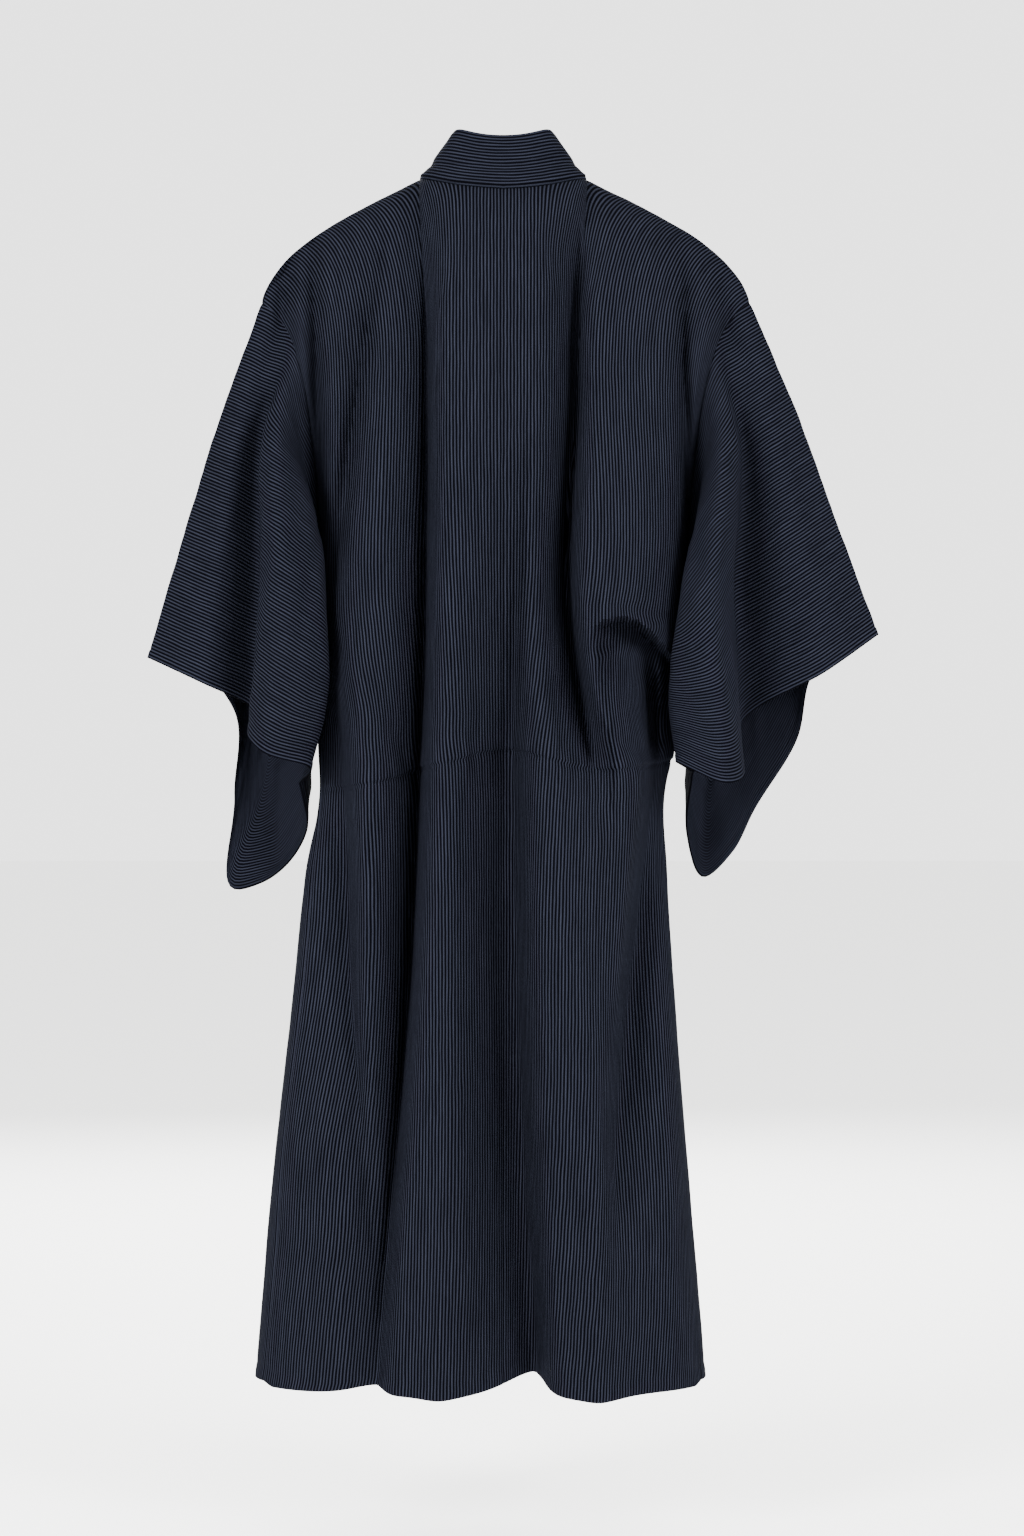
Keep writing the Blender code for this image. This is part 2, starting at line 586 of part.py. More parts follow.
def cloth_patches(neck, shoulder, okumi_columns, upper, lower, sleeve_steps, sleeve_free, collar_steps):
    """Every patch of the middle surface, by name, with whether its faces turn round."""
    patches = {}
    along = back_columns(neck, shoulder)
    for name, side in (("left", 1), ("right", -1)):
        back = back_grid(side, along, upper, lower)
        front = front_grid(side, along, upper, lower)
        patches["back_" + name] = (back, side > 0)
        patches["front_" + name] = (front, side < 0)
        patches["okumi_" + name] = (okumi_grid(side, along, okumi_columns, upper, lower), side < 0)
        back_edge = back[lower:, -1][::-1]
        front_edge = front[: upper + 1, 0]
        halves = sleeve_grid(side, back_edge, front_edge, sleeve_steps, sleeve_free)
        patches["sleeve_back_" + name] = (halves[0], side > 0)
        patches["sleeve_front_" + name] = (halves[1], side > 0)
    patches["collar"] = (collar_grid(along, collar_steps, upper, lower), True)
    return patches


PIECES = {
    "body_left": ("back_left", "front_left"),
    "body_right": ("back_right", "front_right"),
    "okumi_left": ("okumi_left",),
    "okumi_right": ("okumi_right",),
    "sleeve_left": ("sleeve_back_left", "sleeve_front_left"),
    "sleeve_right": ("sleeve_back_right", "sleeve_front_right"),
    "collar": ("collar",),
}


def main():
    for old in list(bpy.data.objects):
        bpy.data.objects.remove(old, do_unlink=True)
    sizes = (NECK_COLUMNS, SHOULDER_COLUMNS, OKUMI_COLUMNS, UPPER_ROWS, LOWER_ROWS)
    patches = cloth_patches(*sizes, SLEEVE_STEPS, SLEEVE_FREE_COLUMNS, COLLAR_STEPS)
    points, faces = weld(list(patches.values()))
    faces = dict(zip(patches, faces))
    pieces = {name: np.concatenate([faces[part] for part in parts]) for name, parts in PIECES.items()}
    thickness = {name: COLLAR_WALL if name == "collar" else WALL for name in pieces}
    laid = seam_normals(points, pieces, thickness)
    cloth = cloth_material("striped_cotton", CLOTH)
    band = cloth_material("collar_cotton", COLLAR_CLOTH)
    for name, triangles in pieces.items():
        verts, shell = wall(*laid[name], triangles, thickness[name])
        add_piece(name, verts, shell, band if name == "collar" else cloth)


main()
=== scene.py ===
"""The looks of a striped cotton kimono, filled out as if worn, seen from behind.

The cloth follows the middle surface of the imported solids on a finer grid, as a thin shell for each piece a
maker sews, with finer folds, seams, turned hems, small creases and the stripes woven along each piece. The
tables of the cut are millimetres; Blender's objects are metres.
"""

import math

import bpy
import numpy as np
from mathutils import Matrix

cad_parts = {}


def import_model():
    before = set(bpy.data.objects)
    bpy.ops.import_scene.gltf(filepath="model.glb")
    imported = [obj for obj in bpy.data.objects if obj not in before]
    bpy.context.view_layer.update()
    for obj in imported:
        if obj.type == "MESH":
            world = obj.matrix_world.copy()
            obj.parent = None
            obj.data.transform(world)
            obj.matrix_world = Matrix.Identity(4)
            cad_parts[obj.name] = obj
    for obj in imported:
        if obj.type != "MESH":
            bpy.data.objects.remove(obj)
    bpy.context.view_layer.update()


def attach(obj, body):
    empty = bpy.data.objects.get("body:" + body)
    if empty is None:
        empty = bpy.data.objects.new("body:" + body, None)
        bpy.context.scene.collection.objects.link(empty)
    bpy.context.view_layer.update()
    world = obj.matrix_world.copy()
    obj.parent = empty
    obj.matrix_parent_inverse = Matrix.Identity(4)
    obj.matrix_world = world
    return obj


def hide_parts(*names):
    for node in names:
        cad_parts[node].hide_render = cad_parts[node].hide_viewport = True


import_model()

MM = 0.001

# Cloth sizes, in millimetres.
SHELL = 0.8
COLLAR_SHELL = 2.2
TURNING = 1.1  # what a turned and stitched edge adds
NECK_WIDTH = 90.0
BACK_WIDTH = 308.0
FRONT_WIDTH = 236.0
OKUMI_WIDTH = 138.0
SLEEVE_WIDTH = 385.0
COLLAR_WIDTH = 60.0
COLLAR_LEVEL_WIDTH = 66.0  # measured level, across the slanting front
LAP = 10.0  # each front lies this far off the level section where they overlap
LAP_ROUND = 0.05  # and this share further out or in where it turns round the far side
SAME_PLACE = 0.01  # cloth lengths closer than this are one place
HEM_TURN = 14.0  # widths of the turned hem, overlap edge and cuff
EDGE_TURN = 8.0
CUFF_TURN = 10.0
TURN_ROUND = 1.5  # the run over which the thickness of a turned edge changes
STITCH_DIP = 0.35  # the dip at the stitches of a turned edge, and its half width
STITCH_HALF = 1.6

# Levels, in millimetres from the neck.
ARMPIT_Z = -445.0
LEAD_STEP = 40.0  # the fall meets the first section in the direction of the cloth this far below it
KENSAKI_Z = -185.0
COLLAR_END_Z = -520.0
HEM_Z = -1275.0
TUCK_TOP_Z = -585.0
TUCK_BOTTOM_Z = -650.0

# Grid steps of the cloth.
NECK_COLUMNS = 28
SHOULDER_COLUMNS = 72
OKUMI_COLUMNS = 26
UPPER_ROWS = 72
TUCK_ROWS = 36
SKIRT_ROWS = 84
WAIST_ROWS = 48
SLEEVE_STEPS = 84
SLEEVE_FREE_COLUMNS = 30
COLLAR_STEPS = 14
# Points of the fine paths that the grids are laid on.
SECTION_POINTS = 1500
RING_POINTS = 181
SLEEVE_POINTS = 480

# Level sections of the body. Columns: z, half widths to the left and right, depths to back and front, and
# the widest point's place from back to front.
SECTIONS = (
    (-445, 194, 194, 92, 106, -22),
    (-485, 189.5, 189, 90, 107, -20.5),
    (-535, 201, 193, 90, 107, -21),
    (-590, 202, 188, 92, 108, -19),
    (-640, 200, 177, 96, 108, -15),
    (-729, 214, 178, 104, 108, -10),
    (-870, 229, 186, 115, 110, -5),
    (-1087, 252, 203, 126, 112, 0),
    (-1275, 268, 219, 134, 114, 0),
)
ROUNDNESS = 0.82  # below 1 the sections are fuller than an ellipse
SECTION_TURNS = 1.6  # half turns from the centre back round past the centre front
# Soft steps round a section, in the same half turns: where each starts or ends, and its width.
FAR_SIDE = (1.1, 0.25)
LAP_FROM = (0.62, 0.2)
BACK_FOLDS_TO = (0.54, 0.12)
FRONT_FOLDS_FROM = (0.6, 0.14)

# Long folds of the back. Columns: levels of top and bottom, four places x between them, the depth at each
# (below 0 it stands out), and how far it spreads to the left (+X) and to the right.
BACK_FOLDS = {
    "left_deep": ((-20, -1265), (82, 85, 103, 134), (16, 46, 54, 28), 36, 11),
    "centre": ((-300, -1275), (-13, -10, -16, -34), (6, 42, 52, 62), 42, 15),
    "right_upper": ((-50, -650), (-77, -77, -69, -106), (18, 34, 46, 10), 26, 12),
    "left_slant": ((-80, -400), (125, 144, 163, 183), (4, 11, 14, 6), 16, 16),
    "left_side": ((-500, -1120), (184, 170, 162, 140), (14, 42, 34, 6), 44, 12),
    "right_side": ((-520, -1150), (-180, -153, -128, -120), (8, 38, 32, 6), 12, 44),
    "centre_roll": ((-60, -1275), (64, 55, 60, 68), (-3, -9, -11, -12), 26, 26),
    "right_roll": ((-560, -1275), (-48, -66, -98, -101), (-4, -12, -16, -18), 30, 30),
}
# Long folds of the front, which the photograph doesn't show: shallow, and spaced as loosely.
FRONT_FOLDS = {
    "left_fall": ((-240, -1275), (104, 112, 120, 128), (6, 32, 26, 22), 30, 24),
    "right_fall": ((-240, -1275), (-98, -106, -112, -118), (6, 34, 26, 22), 24, 30),
    "left_hip": ((-280, -1100), (154, 158, 172, 186), (3, 22, 14, 2), 18, 18),
    "right_hip": ((-280, -1100), (-152, -148, -150, -158), (3, 24, 16, 2), 18, 18),
    "left_middle": ((-300, -1200), (44, 48, 50, 52), (2, 16, 12, 8), 22, 22),
    "right_middle": ((-300, -1200), (-38, -42, -46, -50), (2, 16, 12, 8), 22, 22),
}
# Short rolls and hollows of the back, where the cloth is caught up over the right hip. Columns: centre
# x and z, half sizes along and across, lean in degrees, and height (below 0 it is a hollow).
BACK_ROLLS = (
    (-152, -476, 52, 17, -18, 14),
    (-158, -545, 62, 20, 84, -34),
    (-112, -560, 58, 22, 78, 15),
    (-40, -590, 60, 20, 6, 5),
    (150, -560, 70, 22, 76, 12),
)
SWAG_ROLLS = BACK_ROLLS[:3]  # the solids' soft form of the swag, which the finer one below replaces
# How the long folds run out at their ends, and how full their sides are (2 is a bell curve).
FOLD_LEAD = 40
FOLD_END = 60
FOLD_SHAPE = 1.7
CREVICE_END = 40
CREVICE_SHAPE = 3
# The lip along which the cloth over the right hip turns under: x and z. Above it the cloth bulges out, and
# below it lies deep.
SWAG_LIP = (
    (-84, -476),
    (-103, -464),
    (-117, -459),
    (-132, -458),
    (-146, -463),
    (-158, -474),
    (-177, -493),
    (-195, -509),
)
SWAG_START = (-92.0, 22.0)  # place x and the width over which the swag sets in
SWAG_BULGE = (13.0, 55)  # height and reach
SWAG_HOLLOW = (36.0, 88)  # depth and reach
SWAG_TURN = 5.0
# Finer folds of the cloth, with the columns of the long ones.
FINE_FOLDS = {
    "centre_broad": ((-560, -1230), (11, 9, 3, -3), (10, 24, 26, 10), 32, 26),
    "centre_top": ((-110, -680), (-28, -20, -15, -10), (4, 15, 17, 4), 40, 6),
    "left_slant_edge": ((-45, -440), (132, 152, 170, 187), (10, 24, 26, 12), 24, 7),
    "right_edge": ((-560, -1040), (-160, -142, -132, -122), (6, 22, 18, 4), 5, 30),
    "right_flank": ((-30, -600), (-81, -79, -71, -90), (9, 18, 18, 8), 34, 4),
    "left_arm": ((-50, -350), (208, 203, 200, 197), (10, 20, 22, 10), 8, 8),
    "right_arm": ((-70, -360), (-199, -194, -198, -202), (10, 22, 24, 12), 8, 8),
    "left_valley": ((-60, -215), (236, 240, 238, 234), (6, 22, 22, 6), 12, 12),
    "right_valley": ((-80, -225), (-240, -242, -240, -234), (6, 20, 20, 6), 12, 12),
    "second_bulge": ((-512, -610), (-91, -101, -111, -122), (-16, -26, -26, -10), 5, 34),
}
# Narrow crevices at the bottom of the sharpest folds. Columns as for the folds, with half widths.
BACK_CREVICES = {
    "left_deep": ((-10, -1240), (79.5, 84, 100, 131), (3, 20, 26, 4), 6, 4),
    "right_upper": ((-12, -640), (-79, -76, -69, -100), (2, 9, 19, 5), 5, 4),
    "right_gap": ((-484, -622), (-160, -161, -162, -166), (6, 30, 34, 8), 9, 6),
}

# Where the cloth leaves the shoulder line: how far it runs inwards, backwards (or forwards) and down
# before it turns to hang, at the neck and at the armhole.
SHOULDER_ROLL = {"neck": (6, 74, -30), "armhole": (-64, 76, -40)}
FRONT_ROLL = {"neck": (-12, -66, -58), "armhole": (-60, -84, -42)}
NECK_ROLL = 0.45  # what is left of that run backwards and down at the middle of the neck
LEAD_SHARE = 0.42  # how much of the fall's height leads into the first section
FOLDS_SET_IN = 2.2  # the folds are whole after one part in this many of the fall
BACK_HELD = 0.14  # the shares of the width beside the armhole that keep off the folds
FRONT_HELD = 0.15

# The sleeves. Columns: (x, y, z) of a line along the sleeve at the second, third and last station. The
# lines run over the arm, down the back into the hidden valley, over the second fold, in to the bottom seam,
# then round the front and up again.
STATIONS = (0.0, 1 / 3, 2 / 3, 1.0)
# The lines in order, with the share of the armhole edge at which each leaves it.
BACK_LINES = {
    "top": 0,
    "outer": 0.06,
    "valley": 0.12,
    "edge": 0.18,
    "crest": 0.26,
    "inner": 0.4,
    "bottom": 1,
}
FRONT_LINES = {
    "bottom": 0,
    "under": 0.12,
    "tip": 0.27,
    "corner": 0.38,
    "belly": 0.52,
    "fold": 0.7,
    "upper": 0.88,
    "top": 1,
}
SLEEVE_LEFT = {
    "top": ((308, -2, -239), (348, -5, -368), (387, -12, -498)),
    "outer": ((286, 20, -242), (306, 22, -382), (326, 22, -526)),
    "valley": ((261, 8, -255), (266, -2, -402), (272, -8, -554)),
    "edge": ((254, 46, -262), (259, 52, -416), (272, 50, -586)),
    "crest": ((240, 64, -276), (240, 76, -440), (255, 72, -602)),
    "inner": ((214, 52, -304), (193, 57, -491), (210, 54, -616)),
    "bottom": ((210, -22, -608), (214, -17, -622), (221, -8, -635)),
    "under": ((210, -60, -618), (215, -52, -660), (216, -38, -686)),
    "tip": ((224, -78, -566), (246, -84, -692), (264, -60, -743)),
    "corner": ((232, -90, -506), (262, -94, -650), (294, -66, -752)),
    "belly": ((243, -102, -446), (272, -104, -574), (298, -86, -650)),
    "fold": ((269, -86, -334), (292, -92, -470), (297, -80, -556)),
    "upper": ((295, -48, -262), (322, -54, -392), (338, -60, -506)),
}
SLEEVE_RIGHT = {
    "top": ((-318, -2, -230), (-362, -5, -350), (-408, -12, -473)),
    "outer": ((-286, 20, -242), (-314, 22, -376), (-350, 22, -513)),
    "valley": ((-257, 8, -260), (-254, -4, -412), (-258, -12, -570)),
    "edge": ((-247, 46, -284), (-242, 52, -434), (-255, 50, -630)),
    "crest": ((-230, 64, -296), (-226, 76, -454), (-238, 72, -634)),
    "inner": ((-206, 54, -336), (-184, 58, -498), (-187, 56, -612)),
    "bottom": ((-202, -22, -602), (-204, -17, -613), (-206, -8, -622)),
    "under": ((-199, -60, -612), (-200, -52, -654), (-201, -38, -690)),
    "tip": ((-212, -78, -560), (-214, -84, -682), (-222, -62, -738)),
    "corner": ((-228, -90, -506), (-240, -94, -626), (-252, -70, -712)),
    "belly": ((-240, -102, -442), (-262, -106, -566), (-278, -82, -664)),
    "fold": ((-268, -88, -330), (-300, -92, -462), (-326, -84, -584)),
    "upper": ((-298, -48, -256), (-326, -54, -390), (-340, -60, -516)),
}
SLEEVE_FOOT = {"left": (207, -24, -592), "right": (-200, -24, -588)}
HANGING_BOW = 6.0  # how far the sleeve's inner edge below the armhole stands off a straight line
SLEEVE_CLEAR = 9.0  # how far the sleeve steps away from the body's side just past the armhole
SLEEVE_CLEAR_BY = 200  # it does so in full this far down the armhole
SLEEVE_OPEN = 8.0  # how far its back and front part from each other just past that hanging edge
SLEEVE_OFF_BY = 0.1  # both set in over this share of the arm
SLEEVE_OFF_TO = (0.75, 0.5)  # and end at this one, over that run

# The shoulder line seen from the back: neck, two shaping points and the top of the armhole.
SHOULDER_LINE = ((NECK_WIDTH, 5, 20), (150, 3, -12), (247, 0, -48), (262, 0, -113))
RIGHT_SHOULDER_WIDER = 1.02
BACK_NECK = (70.0, 2.0)  # how far back and how high the middle of the back neck is

# Where the collar points from the neck seam, at the centre back and at the side of the neck.
COLLAR_AT_BACK = (0, -0.25, 0.97)
COLLAR_AT_SIDE = (-0.6, 0.1, 0.79)
PARTED_BY = 0.34  # the share of the fall by which the two fronts are a full lap apart
PARTED_FROM = (0.3, 0.35)  # the share of the front's width from which they part, and the run of that

# Where the finer folds are let free, with the width of each step: inside the side seam, above the armpit
# and below the shoulder line.
SIDE_SEAM_HELD = 20
ARMPIT_FREE = (15, 45)
SHOULDER_HELD = (-12, 30)

# Small creases, as soft troughs (below 0) or ridges. Columns: one end x and z, the other end x and z, half
# width, height and how far it bows.
BACK_CREASES = (
    (22, -22, 4, -60, 5, -1.6, 4),
    (-2, -30, -34, -52, 6, -1.4, 3),
    (40, -34, 30, -78, 5, -1.0, -3),
    (-52, -40, -60, -96, 7, -1.4, 3),
    (150, -120, 122, -210, 8, -2.0, 5),
    (196, -112, 166, -176, 8, -1.8, -4),
    (-128, -118, -112, -214, 8, -2.2, -5),
    (-182, -110, -150, -206, 9, -2.4, 5),
    (128, -240, 118, -420, 8, 1.6, 4),
    (190, -420, 176, -560, 9, 2.6, 6),
    (-120, -440, -182, -456, 8, -3.0, 4),
    (-96, -505, -148, -486, 7, 2.2, -4),
    (-118, -585, -160, -604, 8, -2.6, 3),
    (-60, -520, -74, -620, 9, -2.2, 5),
    (34, -560, 20, -640, 7, -1.2, 3),
    (120, -575, 98, -640, 7, -1.4, -3),
    (140, -640, 124, -860, 9, 1.6, 5),
    (62, -820, 74, -1180, 10, -1.8, -6),
    (36, -900, 40, -1240, 9, 1.4, 4),
    (-112, -760, -128, -1120, 10, -1.8, 5),
    (-70, -860, -64, -1270, 9, -1.6, -4),
    (196, -760, 204, -1250, 12, -2.2, 6),
    (-168, -900, -180, -1260, 11, 1.8, -5),
    (150, -980, 168, -1270, 10, 1.6, 5),
)
FRONT_CREASES = (
    (120, -130, 96, -230, 9, -2.2, 5),
    (182, -110, 150, -200, 9, -2.0, -4),
    (-118, -130, -92, -240, 9, -2.2, -5),
    (-180, -110, -148, -205, 9, -2.0, 4),
    (70, -330, 30, -470, 10, -2.0, 6),
    (-60, -320, -20, -460, 10, -1.8, -6),
    (140, -520, 100, -660, 9, 2.0, 5),
    (-130, -520, -96, -650, 9, 2.0, -5),
    (80, -700, 92, -1100, 12, -2.2, 7),
    (-72, -720, -84, -1150, 12, -2.0, -6),
    (20, -640, 6, -1020, 11, 1.6, 6),
    (160, -760, 176, -1230, 12, -2.0, 5),
    (-140, -800, -154, -1240, 12, -2.0, -5),
)
# Creases of the sleeves. Columns: down the sleeve and along the arm at one end, then at the other, half
# width, height and bow.
SLEEVE_BACK_CREASES = (
    (34, 60, 28, 250, 9, -1.6, 5),
    (52, 180, 40, 370, 8, 1.4, -4),
    (128, 70, 150, 300, 10, -1.8, 6),
    (170, 160, 200, 360, 9, 1.6, -5),
    (230, 80, 250, 340, 10, -1.6, 5),
    (120, 330, 190, 372, 8, -1.2, 3),
)
SLEEVE_FRONT_CREASES = (
    (40, 70, 36, 300, 10, -1.8, 6),
    (120, 60, 150, 320, 10, 1.6, -6),
    (210, 90, 240, 350, 11, -2.0, 5),
    (300, 60, 290, 300, 10, 1.6, 5),
)
CREASE_RUN_OUT = 0.15  # a crease runs this share of its length past its ends
CREASE_TAPER = 0.4
# How far from the seams the creases and the crinkle are whole.
CENTRE_SEAM_CLEAR = 12
SIDE_SEAM_CLEAR = 25
FRONT_EDGE_CLEAR = 20
OKUMI_SEAM_CLEAR = 12
ARMHOLE_CLEAR = 30
SLEEVE_SEAM_CLEAR = 10
# The crinkle of the cloth. Columns: height, and the size of its cells across and along the cloth.
CRINKLES = ((0.55, 26, 70), (0.22, 9, 24))
CRINKLE_SEEDS = {"back": 3, "front": 13, "okumi": 23, "sleeve": 33, "collar": 43}
NOISE_CELLS = 64
NOISE_PLACE = (31.7, 17.3)  # where the cloth's start lies among the cells
OKUMI_PLACE = 400  # places far enough apart that no two pieces have the same crinkle
SLEEVE_PLACE = 900
# Where the cloth is caught up at the hips and stitched across the back: x and z along the stitched line.
TUCK_LINE = (
    (-200, -604),
    (-156, -613),
    (-112, -619),
    (-45, -606),
    (-18, -599),
    (19, -600),
    (46, -608),
    (83, -616),
    (110, -626),
    (161, -636),
    (205, -640),
)
TUCK_STEP = 2.0  # how far the cloth above the line stands out over the cloth below
TUCK_TURN = 2.0  # the height of that step
TUCK_REACH = 26  # how slowly it fades upwards
TUCK_CLEAR = 30  # it runs out this far from the side seam
TUCK_DIP = 0.9  # the dip below the line
TUCK_DIP_AT = 2.5
TUCK_DIP_HALF = 3.0
# How much the hem rises for each millimetre that the back lies deeper, about which depth, and from which
# level, with the run over which it sets in.
HEM_RISE = 0.28
HEM_LEVEL = 16.0
HEM_WAVES = (-850.0, 420)
# The stripes pass from the centre seam's count to the armhole's at the sharp fold, over this half width at
# the top and so much more further down.
STRIPE_CHANGE = (4, 50)
STRIPE_CHANGE_FROM = (-170, 130)

# The collar behind the neck stands proud just above its seam and has a soft fold along its middle.
COLLAR_BACK = (0.36, 0.64)  # which share of the collar's length lies behind the neck
COLLAR_BACK_END = 60  # the run over which that part begins and ends
COLLAR_LIP = 1.4
COLLAR_LIP_AT = 4.5
COLLAR_LIP_HALF = 2.4
COLLAR_FOLD = 1.8
COLLAR_FOLD_AT = 21.0
COLLAR_FOLD_HALF = 5
COLLAR_FOLD_SWAY = (3, 37)  # how far the fold's line sways, and how slowly
COLLAR_CRINKLE = (0.35, 3)  # the doubled cloth is stiffer: how low its crinkle is, and how fine across
COLLAR_THINNER = 0.9  # the pressed fold at the free edge
COLLAR_THINNER_HALF = 2.0
# Seams: how deep and how wide the groove is along each, in millimetres.
SEAM_DIP = 0.8
SEAM_HALF = 2.6
NECK_SEAM_DEEPER = 2.6  # how many times deeper the body dips under the collar

# The woven stripes, in millimetres.
STRIPE_PITCH = 3.6
STRIPE_WANDER = 1.6  # the noise that bends the threads moves them within this width
THREAD_PITCH = 0.9  # real threads lie 0.4 mm apart; they are drawn wider so that a close view shows them

# Colours, as sRGB.
GROUND = "#010102"
FADED_GROUND = "#030305"
STRIPE = "#191b23"
COLLAR_STRIPE = "#181a22"
FIBRE_SHEEN = "#8d97ad"
FLOOR_WHITE = "#f4f4f3"
SKY_WHITE = "#ffffff"

# The patches of cloth in each piece.
PIECES = {
    "body_left": ("back_left", "front_left"),
    "body_right": ("back_right", "front_right"),
    "okumi_left": ("okumi_left",),
    "okumi_right": ("okumi_right",),
    "sleeve_left": ("sleeve_back_left", "sleeve_front_left"),
    "sleeve_right": ("sleeve_back_right", "sleeve_front_right"),
    "collar": ("collar",),
}

# Camera, floor and lights, in metres.
CAMERA_PLACE = (-0.0095, 4.2, -0.618)
CAMERA_LENS = 90.66
CAMERA_SENSOR = 36.0
FLOOR_Z = -1.44
FLOOR_HALF = 30.0
SKY_STRENGTH = 2.8
# Columns: name, place, what it points at, size, and power in watts.
LIGHTS = (
    ("left", (2.8, 3.4, 0.9), (0, 0, -0.6), 1.7, 640),
    ("right", (-3.0, 3.4, 0.7), (0, 0, -0.6), 1.7, 540),
    ("front", (0.4, -3.6, 1.4), (0, 0, -0.5), 2.6, 420),
)


def smooth(t):
    t = np.clip(t, 0.0, 1.0)
    return t * t * (3 - 2 * t)


def after(value, start, width):
    """A soft step from 0 at the start to 1 where the value is a width past it."""
    return smooth((value - start) / width)


def before(value, end, width):
    """A soft step to 0 at the end from 1 where the value is a width short of it."""
    return smooth((end - value) / width)


def flow(knots, values, at):
    """A smooth curve through values at knots, which rise or fall steadily."""
    knots, values, at = (np.asarray(v, float) for v in (knots, values, at))
    if knots[0] > knots[-1]:
        knots, values = knots[::-1], values[::-1]
    at = np.clip(at, knots[0], knots[-1])
    slopes = np.gradient(values, knots, axis=0)
    i = np.clip(np.searchsorted(knots, at) - 1, 0, len(knots) - 2)
    step = knots[i + 1] - knots[i]
    t = (at - knots[i]) / step
    if values.ndim > 1:
        t, step = t[..., None], step[..., None]
    return (
        values[i] * (1 + 2 * t) * (1 - t) ** 2
        + slopes[i] * step * t * (1 - t) ** 2
        + values[i + 1] * t * t * (3 - 2 * t)
        + slopes[i + 1] * step * t * t * (t - 1)
    )


def bezier(p0, p1, p2, p3, t):
    p0, p1, p2, p3 = (np.asarray(p, float) for p in (p0, p1, p2, p3))
    t = np.asarray(t, float)[..., None]
    return p0 * (1 - t) ** 3 + 3 * p1 * t * (1 - t) ** 2 + 3 * p2 * t * t * (1 - t) + p3 * t**3


def lengths(path):
    """How far along a path each of its points is."""
    steps = np.linalg.norm(np.diff(path, axis=0), axis=1)
    return np.concatenate([[0.0], np.cumsum(steps)])


def at_lengths(path, along):
    run = lengths(path)
    return np.stack([np.interp(along, run, path[:, k]) for k in range(3)], axis=1)


def closer_at_ends(low, high, steps, closeness=0.6):
    """Values from low to high, closer together near both ends."""
    t = np.linspace(0, 1, steps + 1)
    t = t - closeness * np.sin(2 * math.pi * t) / (2 * math.pi)
    return low + (high - low) * t


def fold_depth(folds, x, z):
    """How deep all the long folds together are at a place."""
    total = np.zeros_like(x)
    for (top, bottom), places, depths, spread_left, spread_right in folds.values():
        levels = np.linspace(top, bottom, len(places))
        off = x - flow(levels, places, z)
        spread = np.where(off > 0, spread_left, spread_right)
        inside = before(z, top + FOLD_LEAD, FOLD_END) * after(z, bottom - FOLD_END, FOLD_END)
        total += flow(levels, depths, z) * np.exp(-np.abs(off / spread) ** FOLD_SHAPE) * inside
    return total


def roll_height(rolls, x, z):
    total = np.zeros_like(x)
    for centre_x, centre_z, along, across, lean, height in rolls:
        c, s = math.cos(math.radians(lean)), math.sin(math.radians(lean))
        a = ((x - centre_x) * c + (z - centre_z) * s) / along
        b = ((z - centre_z) * c - (x - centre_x) * s) / across
        total += height * np.exp(-(a * a + b * b))
    return total


def swag_height(x, z):
    """The cloth caught up over the right hip, which bulges out and turns under along a lip."""
    above = z - flow(*zip(*SWAG_LIP), x)
    turned_under = smooth(-above / SWAG_TURN)
    height, reach = SWAG_BULGE
    bulge = height * np.exp(-((np.clip(above, 0, None) / reach) ** 2)) * (1 - turned_under)
    depth, reach = SWAG_HOLLOW
    hollow = depth * turned_under * np.exp(-((above / reach) ** 2))
    return (bulge - hollow) * before(x, *SWAG_START)


def crevice_depth(x, z):
    total = np.zeros_like(x)
    for (top, bottom), places, depths, half_left, half_right in BACK_CREVICES.values():
        levels = np.linspace(top, bottom, len(places))
        off = x - flow(levels, places, z)
        half = np.where(off > 0, half_left, half_right)
        inside = before(z, top, CREVICE_END) * after(z, bottom, CREVICE_END)
        total += flow(levels, depths, z) * np.exp(-np.abs(off / half) ** CREVICE_SHAPE) * inside
    return total


def back_relief(x, z):
    return roll_height(BACK_ROLLS, x, z) - fold_depth(BACK_FOLDS, x, z)


def fine_relief(x, z):
    """What the cloth's finer form adds to the solids' form of the back."""
    swag = swag_height(x, z) - roll_height(SWAG_ROLLS, x, z)
    return swag - fold_depth(FINE_FOLDS, x, z) - crevice_depth(x, z)


def front_relief(x, z):
    return fold_depth(FRONT_FOLDS, x, z)


def section(side, z):
    """The plain and the folded path of one level, from the centre back round past the centre front."""
    rows = np.array(SECTIONS, float)
    left, right, back, front, widest = (flow(rows[:, 0], rows[:, k], z) for k in range(1, 6))
    own, other = (left, right) if side > 0 else (right, left)
    turn = np.linspace(0.0, SECTION_TURNS * math.pi, SECTION_POINTS)
    place = turn / math.pi
    across = np.sign(np.sin(turn)) * np.abs(np.sin(turn)) ** ROUNDNESS
    depth = np.sign(np.cos(turn)) * np.abs(np.cos(turn)) ** ROUNDNESS
    far = 1 + side * LAP_ROUND * after(place, *FAR_SIDE)
    x = side * across * far * np.where(across > 0, own, other)
    y = widest + depth * np.where(depth > 0, back - widest, front + widest)
    y = y - side * LAP * after(place, *LAP_FROM)
    plain = np.stack([x, y, np.full_like(x, z)], axis=1)
    behind = before(place, *BACK_FOLDS_TO)
    ahead = after(place, *FRONT_FOLDS_FROM)
    folded = plain.copy()
    folded[:, 1] += back_relief(x, plain[:, 2]) * behind + front_relief(x, plain[:, 2]) * ahead
    return plain, folded


def okumi_width(z):
    """The front overlap piece tapers above the end of the collar."""
    return OKUMI_WIDTH * np.clip((KENSAKI_Z - z) / (KENSAKI_Z - COLLAR_END_Z), 0.0, 1.0)


